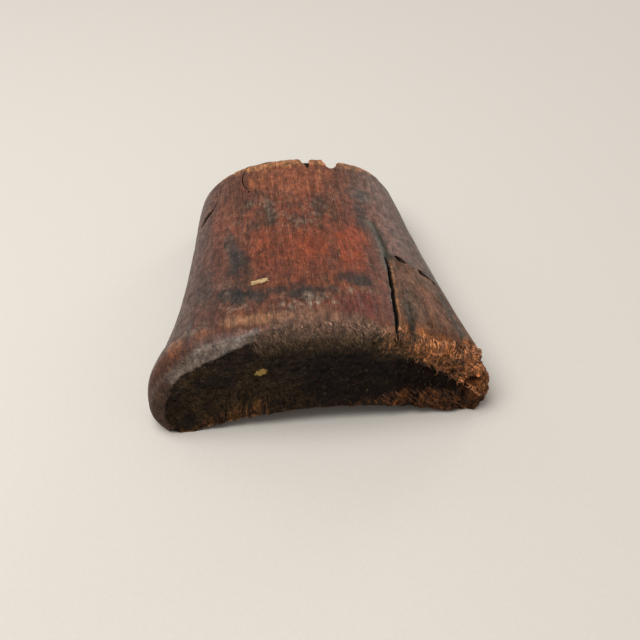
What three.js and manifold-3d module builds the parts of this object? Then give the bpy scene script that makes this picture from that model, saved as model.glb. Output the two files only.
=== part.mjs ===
// A leatherworker's thigh block, carved from one piece of old hardwood and shaped like half a cone.
// The flared front end is a crescent of end grain, the back is a shallow crown, and the underside is
// hollowed along the grain, so the block sits over a thigh or stands on its two rails. One front
// corner is a separate piece of wood, and a pale sliver is lodged in the crown.
// Millimetres, +X across the block, +Y along the grain from front to rear, +Z up.
import * as THREE from 'three';
import { mergeVertices } from 'three/addons/utils/BufferGeometryUtils.js';
import Module from 'manifold-3d';

const wasm = await Module();
wasm.setup();

// Driving dimensions
const HALF_WIDTH = 100; // centre line to the widest point of either front lobe
const LENGTH = 196; // front lip to rear end, along the grain
const CROWN = 68; // highest point of the back, just behind the front edge
const RAIL_LAND = 9; // flat strip under each rail
const FOOT_INSET = 10; // from the widest line in to the outer edge of the land
const DISH = 2.5; // how far the middle of the front end grain is sunk
const JOINT_GAP = 0.3; // clearance where one piece of wood meets another

// Profiles along the grain, as [distance behind the front lip, value]
const LEFT_LOBE = [[0, 91], [2, 95], [5, 98], [12, HALF_WIDTH]];
const RIGHT_LOBE = [[0, 96.5], [2, 98], [5, 99.4], [12, HALF_WIDTH]];
const LEFT_HALF = [...LEFT_LOBE, [36, 92.5], [80, 82], [140, 73], [188, 67.5], [LENGTH, 64.5]];
const RIGHT_HALF = [...RIGHT_LOBE, [38, 94.5], [80, 86], [140, 76.5], [188, 70], [LENGTH, 67]];
const FRONT_ROUND = [[0, 60], [4, 65], [9, 67.2], [16, CROWN]];
const CROWN_HEIGHT = [...FRONT_ROUND, [50, 66.5], [110, 62], [188, 58.5], [LENGTH, 56]];
const WIDEST_LEVEL = [[0, 14], [60, 14], [LENGTH, 11]];
const HOLLOW_DEPTH = [[0, 11], [LENGTH, 9]];
const CROWN_OFFSET = [[0, -10], [80, -4], [LENGTH, 0]];
const LEFT_FULLNESS = [[0, 1.9], [5, 2.1], [16, 2.6], [70, 2.3], [LENGTH, 2.3]];
const RIGHT_FULLNESS = [[0, 2.0], [70, 2.1], [LENGTH, 2.3]];

// Where the sections of the loft stand, and how finely each is drawn
const FRONT_STATIONS = [0, 1, 2.5, 5, 9, 14, 20, 28, 38, 50];
const REAR_STATIONS = [182, 188, 192, 194.5, LENGTH];
const STATIONS = [...FRONT_STATIONS, 65, 80, 95, 110, 125, 140, 155, 168, ...REAR_STATIONS];
const ARCH_STEPS = 36;
const FOOT_STEPS = 4;
const HOLLOW_STEPS = 12;

function profile(points) {
  const [at, values] = [points.map((p) => p[0]), points.map((p) => p[1])];
  const curve = new THREE.CubicInterpolant(at, values, 1);
  return (s) => curve.evaluate(s)[0];
}

const leftHalf = profile(LEFT_HALF);
const rightHalf = profile(RIGHT_HALF);
const crownHeight = profile(CROWN_HEIGHT);
const widestLevel = profile(WIDEST_LEVEL);
const hollowDepth = profile(HOLLOW_DEPTH);
const crownOffset = profile(CROWN_OFFSET);
const leftFullness = profile(LEFT_FULLNESS);
const rightFullness = profile(RIGHT_FULLNESS);

// A quarter round from the widest line (side 1 or -1) down and in to the outer edge of the land
function foot(side, half, low) {
  const points = [];
  for (let i = 1; i <= FOOT_STEPS; i += 1) {
    const turn = (i / FOOT_STEPS) * (Math.PI / 2);
    const inward = FOOT_INSET * (1 - Math.cos(turn));
    points.push([side * (half - inward), low * (1 - Math.sin(turn))]);
  }
  return points;
}

// The superelliptic back, from the right widest line over the crown to the left one
function arch(s) {
  const centre = crownOffset(s);
  const low = widestLevel(s);
  const rise = crownHeight(s) - low;
  const points = [];
  for (let i = 0; i <= ARCH_STEPS; i += 1) {
    const turn = (i / ARCH_STEPS) * Math.PI;
    const onRight = turn <= Math.PI / 2;
    const power = 2 / (onRight ? rightFullness(s) : leftFullness(s));
    const reach = onRight ? rightHalf(s) - centre : leftHalf(s) + centre;
    const across = Math.sign(Math.cos(turn)) * Math.abs(Math.cos(turn)) ** power;
    const up = Math.abs(Math.sin(turn)) ** power;
    points.push([centre + reach * across, low + rise * up]);
  }
  return points;
}

// The hollow between the two lands, from left to right
function hollow(s) {
  const left = FOOT_INSET + RAIL_LAND - leftHalf(s);
  const right = rightHalf(s) - FOOT_INSET - RAIL_LAND;
  const points = [];
  for (let i = 0; i <= HOLLOW_STEPS; i += 1) {
    const u = i / HOLLOW_STEPS;
    points.push([THREE.MathUtils.lerp(left, right, u), hollowDepth(s) * (1 - (2 * u - 1) ** 2)]);
  }
  return points;
}

// One closed cross-section, as [x, z] points anticlockwise seen from the front
function section(s) {
  const leftFoot = foot(-1, leftHalf(s), widestLevel(s));
  const rightFoot = foot(1, rightHalf(s), widestLevel(s)).reverse();
  return [...arch(s), ...leftFoot, ...hollow(s), ...rightFoot];
}

// The section at s drawn in towards its middle, and sunk behind its own plane
function ring(s, scale, sunk) {
  const middle = crownHeight(s) / 2;
  return section(s).map(([x, z]) => [x * scale, s + sunk - LENGTH / 2, middle + (z - middle) * scale]);
}

// A closed body through the rings, with a fan to a point at each end
function loft(rings, firstPoint, lastPoint) {
  const around = rings[0].length;
  const positions = [...rings.flat(), firstPoint, lastPoint];
  const [first, last] = [positions.length - 2, positions.length - 1];
  const faces = [];
  for (let j = 0; j < around; j += 1) {
    const next = (j + 1) % around;
    faces.push([j, next, first]);
    for (let i = 0; i < rings.length - 1; i += 1) {
      const [near, far] = [i * around, (i + 1) * around];
      faces.push([near + j, far + next, near + next], [near + j, far + j, far + next]);
    }
    const end = (rings.length - 1) * around;
    faces.push([end + next, end + j, last]);
  }
  const geometry = new THREE.BufferGeometry();
  geometry.setAttribute('position', new THREE.Float32BufferAttribute(positions.flat(), 3));
  geometry.setIndex(faces.flat());
  return geometry;
}

// The dish of the front end grain, as [share of the section, share of the depth] from the middle out
const DISH_RINGS = [[0.35, 0.9], [0.7, 0.7], [0.9, 0.3]];

function wholeBlock() {
  const dish = DISH_RINGS.map(([scale, share]) => ring(0, scale, DISH * share));
  const body = STATIONS.map((s) => ring(s, 1, 0));
  const frontMiddle = [0, DISH - LENGTH / 2, crownHeight(0) / 2];
  const rearMiddle = [0, LENGTH / 2, crownHeight(LENGTH) / 2];
  return loft([...dish, ...body], frontMiddle, rearMiddle);
}

function toSolid(geometry) {
  const bare = geometry.clone();
  bare.deleteAttribute('normal');
  bare.deleteAttribute('uv');
  const merged = mergeVertices(bare, 1e-5);
  const mesh = new wasm.Mesh({
    numProp: 3,
    vertProperties: new Float32Array(merged.attributes.position.array),
    triVerts: new Uint32Array(merged.index.array),
  });
  return new wasm.Manifold(mesh);
}

function toGeometry(solid) {
  const mesh = solid.getMesh();
  const geometry = new THREE.BufferGeometry();
  geometry.setAttribute('position', new THREE.BufferAttribute(mesh.vertProperties, 3));
  geometry.setIndex(new THREE.BufferAttribute(mesh.triVerts, 1));
  geometry.computeVertexNormals();
  return geometry;
}

// An upright cutter from floor to above the crown, its outline in plan as [x, distance from the front lip]
function upright(outline, floor) {
  const shape = new THREE.Shape(outline.map(([x, s]) => new THREE.Vector2(x, s - LENGTH / 2)));
  const depth = CROWN + 20 - floor;
  const geometry = new THREE.ExtrudeGeometry(shape, { depth, bevelEnabled: false });
  geometry.translate(0, 0, floor);
  return toSolid(geometry);
}

// A split in the wood: a lens in plan between two points, open above its floor
function split([x0, s0], [x1, s1], width, floor) {
  const along = new THREE.Vector2(x1 - x0, s1 - s0);
  const side = new THREE.Vector2(along.y, -along.x).normalize().multiplyScalar(width);
  const [mx, ms] = [(x0 + x1) / 2, (s0 + s1) / 2];
  const start = new THREE.Vector2(x0, s0);
  const end = new THREE.Vector2(x1, s1);
  const out = new THREE.QuadraticBezierCurve(start, new THREE.Vector2(mx + side.x, ms + side.y), end);
  const back = new THREE.QuadraticBezierCurve(end, new THREE.Vector2(mx - side.x, ms - side.y), start);
  const outline = [...out.getPoints(6), ...back.getPoints(6).slice(1, -1)];
  return upright(outline.map((p) => [p.x, p.y]), floor);
}

// The corner piece in plan: split away along the grain, then crossed by an oblique joint
const CORNER_LINE = [[42, -10], [47.5, 86], [112, 57]];

function cornerRegion(shiftX, shiftS) {
  const line = CORNER_LINE.map(([x, s]) => [x + shiftX, s + shiftS]);
  return upright([...line, [HALF_WIDTH + 12, -10]], -10);
}

// Splits and breaks: the long crack and its shallow head, a short streak beside it, the two open
// pits on the oblique joint, and the slit and groove on the left shoulder
const SPLITS = [
  [[42.6, 6], [46.8, 78], 1.9, 42],
  [[46.4, 70], [47.6, 108], 1.4, 52],
  [[51.6, 8], [52.2, 28], 2, 56.5],
  [[51, 87.5], [58, 80], 3, 47],
  [[66, 77.5], [77, 71.5], 3, 35],
  [[-65, 150], [-54.5, 158], 2.6, 29],
  [[-54.5, 158], [-50, 178], 1.2, 44.5],
];

// Broken rear edge, in plan: a narrow notch near the middle and a wider bite to its right
const NOTCH_FOOT = [[5.4, 185], [6.6, 180.5], [8, 178.6], [9.4, 181.5], [10.3, 186]];
const NOTCH = [[3.4, LENGTH + 1], ...NOTCH_FOOT, [12.6, LENGTH + 1]];
const BITE_FOOT = [[20.5, 186.2], [21.4, 182.4], [23.8, 179.2], [26.2, 180.4], [28.9, 185.2], [30.7, 189]];
const BITE = [[18.4, LENGTH + 1], ...BITE_FOOT, [32.8, LENGTH + 1]];
const NOTCH_FLOOR = 52;
const BITE_FLOOR = 44;

// The sliver: a thin slab lying in the slope of the crown, its top a little proud of the wood
const SLIVER = { length: 11.2, width: 4.6, thick: 1.6, at: [-31.5, 54, 64.1], tilt: -9, turn: 11 };

// The sliver itself, or with a clearance the pocket that it lies in, which is open above
function sliverSlab(clearance, height) {
  const { length, width, thick, at, tilt, turn } = SLIVER;
  const slab = new THREE.BoxGeometry(length + 2 * clearance, width + 2 * clearance, height);
  slab.translate(0, 0, (height - thick) / 2 - clearance);
  slab.rotateY(THREE.MathUtils.degToRad(tilt));
  slab.rotateZ(THREE.MathUtils.degToRad(turn));
  slab.translate(at[0], at[1] - LENGTH / 2, at[2]);
  return toSolid(slab);
}

const blank = toSolid(wholeBlock());
const splits = SPLITS.map(([from, to, width, floor]) => split(from, to, width, floor));
const carved = splits.reduce((wood, cut) => wood.subtract(cut), blank);
const pocket = sliverSlab(JOINT_GAP, 4 * SLIVER.thick);
const sliver = sliverSlab(0, SLIVER.thick);

const block = carved
  .subtract(cornerRegion(-JOINT_GAP, 1.5 * JOINT_GAP))
  .subtract(upright(NOTCH, NOTCH_FLOOR))
  .subtract(upright(BITE, BITE_FLOOR))
  .subtract(pocket);
const corner = carved.intersect(cornerRegion(0, 0));

function piece(name, solid, colour, roughness) {
  const material = new THREE.MeshStandardMaterial({ color: colour, roughness, metalness: 0 });
  const mesh = new THREE.Mesh(toGeometry(solid), material);
  mesh.name = name;
  return mesh;
}

const group = new THREE.Group();
group.add(
  piece('carved_block', block, '#5a3023', 0.45),
  piece('corner_piece', corner, '#6b4a30', 0.7),
  piece('pale_sliver', sliver, '#d8c08a', 0.6),
);

export default group;
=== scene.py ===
import math
from contextlib import contextmanager
import bpy
import bmesh
import numpy as np
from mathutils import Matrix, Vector
from mathutils.bvhtree import BVHTree
from mathutils.kdtree import KDTree


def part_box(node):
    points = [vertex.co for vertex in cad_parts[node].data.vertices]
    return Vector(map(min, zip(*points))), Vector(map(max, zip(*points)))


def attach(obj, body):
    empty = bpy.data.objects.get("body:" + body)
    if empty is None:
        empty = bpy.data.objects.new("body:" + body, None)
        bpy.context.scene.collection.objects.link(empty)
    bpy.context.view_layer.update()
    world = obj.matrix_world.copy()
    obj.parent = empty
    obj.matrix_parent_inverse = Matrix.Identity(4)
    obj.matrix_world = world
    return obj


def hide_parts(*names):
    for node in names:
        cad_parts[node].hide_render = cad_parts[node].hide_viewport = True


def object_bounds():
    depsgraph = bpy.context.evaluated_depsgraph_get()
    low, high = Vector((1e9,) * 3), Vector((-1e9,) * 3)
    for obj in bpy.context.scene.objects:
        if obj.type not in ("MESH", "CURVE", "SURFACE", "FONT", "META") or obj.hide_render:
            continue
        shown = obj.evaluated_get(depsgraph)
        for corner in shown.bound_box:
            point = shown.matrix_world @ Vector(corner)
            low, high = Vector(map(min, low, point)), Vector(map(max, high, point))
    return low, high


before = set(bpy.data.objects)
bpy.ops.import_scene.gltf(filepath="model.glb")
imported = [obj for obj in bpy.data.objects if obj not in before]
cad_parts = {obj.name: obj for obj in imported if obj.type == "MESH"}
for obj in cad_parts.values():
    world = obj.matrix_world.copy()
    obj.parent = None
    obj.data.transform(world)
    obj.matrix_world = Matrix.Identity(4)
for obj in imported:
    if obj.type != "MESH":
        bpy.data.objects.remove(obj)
CAD_LOW, CAD_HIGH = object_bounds()

# ---------------------------------------------------------------------------------------------
# The block's form, in millimetres in the CAD frame. s is the distance behind the front lip.
# ---------------------------------------------------------------------------------------------
MM = 0.001
HALF_WIDTH = (CAD_HIGH.x - CAD_LOW.x) / 2 / MM
LENGTH = (CAD_HIGH.y - CAD_LOW.y) / MM
CROWN = CAD_HIGH.z / MM
RAIL_LAND = 9
FOOT_INSET = 10
DISH = 2.5
GOUGE_WIDTH = 8.5
GOUGE_LENGTH = 21
GOUGE_DEPTH = 0.55

LEFT_LOBE = [(0, 91), (2, 95), (5, 98), (12, HALF_WIDTH)]
RIGHT_LOBE = [(0, 96.5), (2, 98), (5, 99.4), (12, HALF_WIDTH)]
LEFT_HALF = [*LEFT_LOBE, (36, 92.5), (80, 82), (140, 73), (188, 67.5), (LENGTH, 64.5)]
RIGHT_HALF = [*RIGHT_LOBE, (38, 94.5), (80, 86), (140, 76.5), (188, 70), (LENGTH, 67)]
FRONT_ROUND = [(0, 60), (4, 65), (9, 67.2), (16, CROWN)]
CROWN_HEIGHT = [*FRONT_ROUND, (50, 66.5), (110, 62), (188, 58.5), (LENGTH, 56)]
WIDEST_LEVEL = [(0, 14), (60, 14), (LENGTH, 11)]
HOLLOW_DEPTH = [(0, 11), (LENGTH, 9)]
CROWN_OFFSET = [(0, -10), (80, -4), (LENGTH, 0)]
LEFT_FULLNESS = [(0, 1.9), (5, 2.1), (16, 2.6), (70, 2.3), (LENGTH, 2.3)]
RIGHT_FULLNESS = [(0, 2.0), (70, 2.1), (LENGTH, 2.3)]

ARCH = 260  # steps over the back, and as many under the block
FOOT_STEPS = 30
LAND_STEPS = 14
FACE_ROWS = 44
REAR_ROWS = 26


def profile(points):
    """A smooth curve through the points, which never overshoots them."""
    at = np.array([p[0] for p in points], float)
    values = np.array([p[1] for p in points], float)
    slopes = np.diff(values) / np.diff(at)
    product = slopes[1:] * slopes[:-1]
    middle = np.where(product > 0, 2 * product / (slopes[1:] + slopes[:-1] + 1e-12), 0)
    tangents = np.concatenate([[slopes[0]], middle, [slopes[-1]]])

    def curve(s):
        s = np.clip(s, at[0], at[-1])
        i = np.clip(np.searchsorted(at, s) - 1, 0, len(at) - 2)
        h = at[i + 1] - at[i]
        t = (s - at[i]) / h
        rise = values[i] * (1 + 2 * t) * (1 - t) ** 2 + values[i + 1] * t**2 * (3 - 2 * t)
        return rise + h * (tangents[i] * t * (1 - t) ** 2 + tangents[i + 1] * t**2 * (t - 1))

    return curve


left_half = profile(LEFT_HALF)
right_half = profile(RIGHT_HALF)
crown_height = profile(CROWN_HEIGHT)
widest_level = profile(WIDEST_LEVEL)
hollow_depth = profile(HOLLOW_DEPTH)
crown_offset = profile(CROWN_OFFSET)
left_fullness = profile(LEFT_FULLNESS)
right_fullness = profile(RIGHT_FULLNESS)


def back_height(x, s):
    """Height of the back above the table at (x, s), and the level of the widest line past it."""
    centre = crown_offset(s)
    right = x >= centre
    reach = np.where(right, right_half(s) - centre, left_half(s) + centre)
    power = 2 / np.where(right, right_fullness(s), left_fullness(s))
    share = np.clip(np.abs(x - centre) / reach, 0, 1)
    up = np.sqrt(1 - share ** (2 / power)) ** power
    return widest_level(s) + (crown_height(s) - widest_level(s)) * up


def evenly(points, steps):
    """The polyline again, in equal steps along its length."""
    along = np.concatenate([[0], np.cumsum(np.linalg.norm(np.diff(points, axis=0), axis=1))])
    at = np.linspace(0, along[-1], steps + 1)
    return np.stack([np.interp(at, along, points[:, k]) for k in range(points.shape[1])], axis=1)


def arch_points(s):
    """The back at s, from the right widest line over to the left one."""
    turn = np.linspace(0, math.pi, 721)
    right = turn <= math.pi / 2
    centre = crown_offset(s)
    power = 2 / np.where(right, right_fullness(s), left_fullness(s))
    reach = np.where(right, right_half(s) - centre, left_half(s) + centre)
    across = np.sign(np.cos(turn)) * np.abs(np.cos(turn)) ** power
    up = np.abs(np.sin(turn)) ** power
    low = widest_level(s)
    return evenly(np.stack([centre + reach * across, low + (crown_height(s) - low) * up], axis=1), ARCH)


def foot_points(side, half, low):
    """A quarter round from the widest line in to the outer edge of the land."""
    turn = np.linspace(0, math.pi / 2, 60)
    inward = FOOT_INSET * (1 - np.cos(turn))
    return evenly(np.stack([side * (half - inward), low * (1 - np.sin(turn))], axis=1), FOOT_STEPS)


def under_points(s):
    """The underside at s, from the left widest line to the right one."""
    left, right = left_half(s) - FOOT_INSET, right_half(s) - FOOT_INSET
    u = np.linspace(0, 1, 200)
    across = -(left - RAIL_LAND) + u * (left + right - 2 * RAIL_LAND)
    hollow = np.stack([across, hollow_depth(s) * (1 - (2 * u - 1) ** 2)], axis=1)
    hollow = evenly(hollow, ARCH - 2 * (FOOT_STEPS + LAND_STEPS))
    strip = np.linspace(0, RAIL_LAND, LAND_STEPS + 1)
    left_land = np.stack([-left + strip, 0 * strip], axis=1)
    right_land = np.stack([right - RAIL_LAND + strip, 0 * strip], axis=1)
    left_foot = foot_points(-1, left_half(s), widest_level(s))
    right_foot = foot_points(1, right_half(s), widest_level(s))[::-1]
    return np.concatenate([left_foot, left_land[1:], hollow[1:], right_land[1:], right_foot[1:]])


# ---------------------------------------------------------------------------------------------
# Noise
# ---------------------------------------------------------------------------------------------
def lattice(i, j, k, seed):
    """A fixed random number from 0 to 1 for each corner of a grid."""
    mixed = (i * 73856093) ^ (j * 19349663) ^ (k * 83492791) ^ (seed * 2654435761)
    mixed = (mixed ^ (mixed >> 13)) * 1274126177 & 0xFFFFFFFF
    return ((mixed ^ (mixed >> 15)) & 0xFFFF) / 65535


def noise(p, cell, seed=0):
    """Smooth noise from -1 to 1 at points p, with cells of the given size in millimetres."""
    q = p / np.asarray(cell, float)
    low = np.floor(q)
    f = q - low
    f = f**3 * (f * (f * 6 - 15) + 10)
    i, j, k = low.astype(np.int64).T
    total = np.zeros(len(p))
    for a in (0, 1):
        for b in (0, 1):
            for c in (0, 1):
                weight = np.abs(1 - a - f[:, 0]) * np.abs(1 - b - f[:, 1]) * np.abs(1 - c - f[:, 2])
                total += weight * lattice(i + a, j + b, k + c, seed)
    return total * 2 - 1


def fractal(p, cell, octaves, seed=0):
    """Noise with finer noise on top."""
    cell = np.asarray(cell, float)
    total = sum(noise(p, cell / 2**n, seed + 31 * n) / 2**n for n in range(octaves))
    return total / (2 - 0.5 ** (octaves - 1))


def ridged(p, cell, seed=0):
    """From 0 to 1, with sharp valleys at 0."""
    return np.abs(noise(p, cell, seed)) ** 0.7


def ramp(value, low, high):
    """0 below low, 1 above high, smooth between."""
    t = np.clip((value - low) / (high - low), 0, 1)
    return t * t * (3 - 2 * t)


def spot(x, s, at, radius):
    """A soft round patch, 1 in its middle."""
    across, along = radius
    return np.exp(-(((x - at[0]) / across) ** 2) - ((s - at[1]) / along) ** 2)


# ---------------------------------------------------------------------------------------------
# Meshes
# ---------------------------------------------------------------------------------------------
def make_object(name, points, faces, smooth=True):
    """A mesh object from points in millimetres."""
    mesh = bpy.data.meshes.new(name)
    mesh.from_pydata((np.asarray(points) * MM).tolist(), [], faces)
    mesh.update()
    if smooth:
        mesh.polygons.foreach_set("use_smooth", [True] * len(mesh.polygons))
    obj = bpy.data.objects.new(name, mesh)
    bpy.context.scene.collection.objects.link(obj)
    return obj


@contextmanager
def bmesh_of(obj):
    """The object's mesh as a bmesh, written back at the end."""
    work = bmesh.new()
    work.from_mesh(obj.data)
    yield work
    work.to_mesh(obj.data)
    work.free()
    obj.data.update()


def weld(obj, distance):
    """Merges points that lie on each other and faces all normals out."""
    with bmesh_of(obj) as work:
        bmesh.ops.remove_doubles(work, verts=work.verts, dist=distance * MM)
        bmesh.ops.dissolve_degenerate(work, dist=distance * MM / 4, edges=work.edges)
        bmesh.ops.recalc_face_normals(work, faces=work.faces)


CUT_WELD = 0.03  # points of a cut mesh closer than this are one
CUT_SLIVER = 0.01  # edges of a cut mesh shorter than this are dissolved
SPLINTER = 60  # faces: an island smaller than this is waste from a cut


def island_of(start, reached):
    """The faces joined to the start face edge by edge, added to the reached ones."""
    island = [start]
    reached.add(start)
    for face in island:
        for edge in face.edges:
            for near in edge.link_faces:
                if near not in reached:
                    reached.add(near)
                    island.append(near)
    return island


def drop_splinters(obj):
    """Removes the loose splinters that the cuts leave, each a few faces joined to nothing."""
    with bmesh_of(obj) as work:
        bmesh.ops.remove_doubles(work, verts=work.verts, dist=CUT_WELD * MM)
        bmesh.ops.dissolve_degenerate(work, dist=CUT_SLIVER * MM, edges=work.edges)
        bmesh.ops.triangulate(work, faces=work.faces)
        reached, splinters = set(), []
        for face in work.faces:
            if face not in reached:
                island = island_of(face, reached)
                if len(island) < SPLINTER:
                    splinters += island
        bmesh.ops.delete(work, geom=splinters, context="FACES")
        loose = [vert for vert in work.verts if not vert.link_faces]
        bmesh.ops.delete(work, geom=loose, context="VERTS")


def coordinates(obj):
    """(points, normals) of a mesh, points in millimetres."""
    mesh = obj.data
    points, normals = np.empty(len(mesh.vertices) * 3), np.empty(len(mesh.vertices) * 3)
    mesh.vertices.foreach_get("co", points)
    mesh.vertex_normals.foreach_get("vector", normals)
    return points.reshape(-1, 3) / MM, normals.reshape(-1, 3)


def place_points(obj, points):
    obj.data.vertices.foreach_set("co", (points * MM).ravel())
    obj.data.update()


def soften(obj, edge, reach, rounds):
    """Rounds an edge over by smoothing what lies within reach of it."""
    tree = KDTree(len(edge))
    for k, point in enumerate(edge):
        tree.insert(point * MM, k)
    tree.balance()
    axes = {"use_axis_x": True, "use_axis_y": True, "use_axis_z": True}
    with bmesh_of(obj) as work:
        near = [v for v in work.verts if tree.find(v.co)[2] < reach * MM]
        for _ in range(rounds):
            bmesh.ops.smooth_vert(work, verts=near, factor=0.5, **axes)


def wall_faces(rings, around):
    """The faces between rings of points that follow each other."""
    faces = []
    for i in range(rings - 1):
        for j in range(around):
            n = (j + 1) % around
            faces.append((i * around + j, i * around + n, (i + 1) * around + n, (i + 1) * around + j))
    return faces


def tube_faces(rings, around):
    """The wall of a closed tube, and a cap on each of its ends."""
    caps = [tuple(reversed(range(around))), tuple((rings - 1) * around + j for j in range(around))]
    return wall_faces(rings, around) + caps


def block_grid():
    """The whole block as a fine grid: rings along the grain and a ruled sheet over each end."""
    lip = np.arange(0, 22, 0.62)
    body = np.arange(22, LENGTH - 8, 1.6)
    tail = np.linspace(LENGTH - 8, LENGTH, 11)
    stations = np.concatenate([lip, body, tail])
    rings = []
    for s in stations:
        loop = np.concatenate([arch_points(s)[:-1], under_points(s)[:-1]])
        y = np.full(len(loop), s - LENGTH / 2)
        rings.append(np.stack([loop[:, 0], y, loop[:, 1]], axis=1))
    points = [np.concatenate(rings)]
    faces = wall_faces(len(stations), 2 * ARCH)
    count = len(points[0])
    for ring, rows in ((rings[0], FACE_ROWS), (rings[-1], REAR_ROWS)):
        top = ring[: ARCH + 1]
        bottom = np.concatenate([ring[:1], ring[: ARCH - 1 : -1]])
        share = np.linspace(0, 1, rows + 1)[:, None, None]
        sheet = top[None] * (1 - share) + bottom[None] * share
        points.append(sheet.reshape(-1, 3))
        for k in range(rows):
            for j in range(ARCH):
                a = count + k * (ARCH + 1) + j
                faces.append((a, a + 1, a + ARCH + 2, a + ARCH + 1))
        count += len(points[-1])
    obj = make_object("carved_block_wood", np.concatenate(points), faces)
    weld(obj, 0.01)
    soften(obj, rings[0], 4, 16)
    soften(obj, rings[-1], 3, 8)
    return obj


# ---------------------------------------------------------------------------------------------
# Zones of the surface. Each is 0 to 1 over points in millimetres with their clean normals.
# ---------------------------------------------------------------------------------------------
# Edges of zones as (x, value): _REACH is how far back a zone goes, _LOW and _TOP are heights
TORN_REACH = [
    (-38, 9), (-27, 11), (-11, 13.5), (6, 14.5), (22, 12.5), (38, 10), (47, 12), (56, 11), (72, 11),
    (86, 18), (98, 27),
]
TORN_LOW = [
    (-37, 62.5), (-30, 64), (-10, 65.3), (4, 64.8), (20, 61), (27, 56), (31, 51), (46, 48), (60, 40),
    (70, 33.5), (82, 22.5), (90, 17), (100, 8),
]
# The lower edge of the painted shade under the torn lip
LIP_SHADE_LOW = [(-38, 57), (-30, 59), (0, 57), (26, 54.5), (31, 44), (48, 41.5), (58, 36), (66, 32), (82, 22)]
FRINGE_TOP = [
    (-76, 3), (-65, 11), (-56, 14.5), (-48, 17), (-39, 19.5), (-33, 23), (-30, 3), (9, 3), (13, 17),
    (18, 12.5), (24, 18), (30, 14), (36, 18.5), (51, 20), (72, 17.5), (80, 18), (92, 6),
]
BEVEL_LOW = [
    (-90, 24), (-88, 28), (-85.2, 34.8), (-82.4, 39.6), (-78, 43.8), (-70.5, 49.5), (-64.8, 52.7),
    (-58.4, 55.7), (-47, 60.2), (-37, 63.6), (-32, 65),
]
# The inner edge of the rim of the left toe, as (height, x)
TOE_RIM = [(0, -80), (2.5, -85), (7, -88.5), (16, -90), (24, -89.5), (28, -88), (35, -85.2)]
BEVEL_REACH = [(-98, 6), (-91, 7), (-79, 8), (-64, 9), (-50, 10), (-36, 12), (-28, 12)]
# Places on the end of the right lobe, as (x, height)
KNOB = (90, 13.5)
CREVICE = (83.4, 12.5)
LEDGE = (88, 20.5)


def along(table, x):
    """The table's value at x, by straight lines between its points."""
    return np.interp(x, [row[0] for row in table], [row[1] for row in table])


# Soft worn grooves as paths of (x, s): the head of the long crack and a short streak beside it
CRACK_HEAD = [(43.4, 121), (45.8, 111), (47.4, 100), (47.9, 88), (47.5, 77), (46.8, 66)]
SECOND_STREAK = [(52.5, 36), (52.1, 26), (51.8, 16), (51.5, 7), (51.4, 1)]
# Painted lines as paths of (x, s)
# A worn edge along the seam between the pits, with a painted lilac highlight
WORN_SEAM_HIGHLIGHT = [(50, 83), (57, 78.6), (64, 75.4), (70, 72.4)]
SHOULDER_STREAK = [(84, 12), (80, 40), (77, 60)]
CROWN_LINE = [(15.5, 164), (16.5, 188)]


def near_path(x, s, path):
    """The distance across from a path along the grain, and 1 alongside it fading to 0 past its ends."""
    rows = np.array(sorted((row[1], row[0]) for row in path))
    across = x - np.interp(s, rows[:, 0], rows[:, 1])
    beside = ramp(s, rows[0, 0] - 2, rows[0, 0] + 2) * (1 - ramp(s, rows[-1, 0] - 2, rows[-1, 0] + 2))
    return across, beside


def trail(zone, path, width):
    """1 along a path over the back, fading over the width, with ragged sides."""
    across, beside = near_path(zone.x + 0.8 * noise(zone.p, (3, 6, 3), 17), zone.s, path)
    return np.exp(-((across / width) ** 2)) * beside * zone.back


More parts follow.
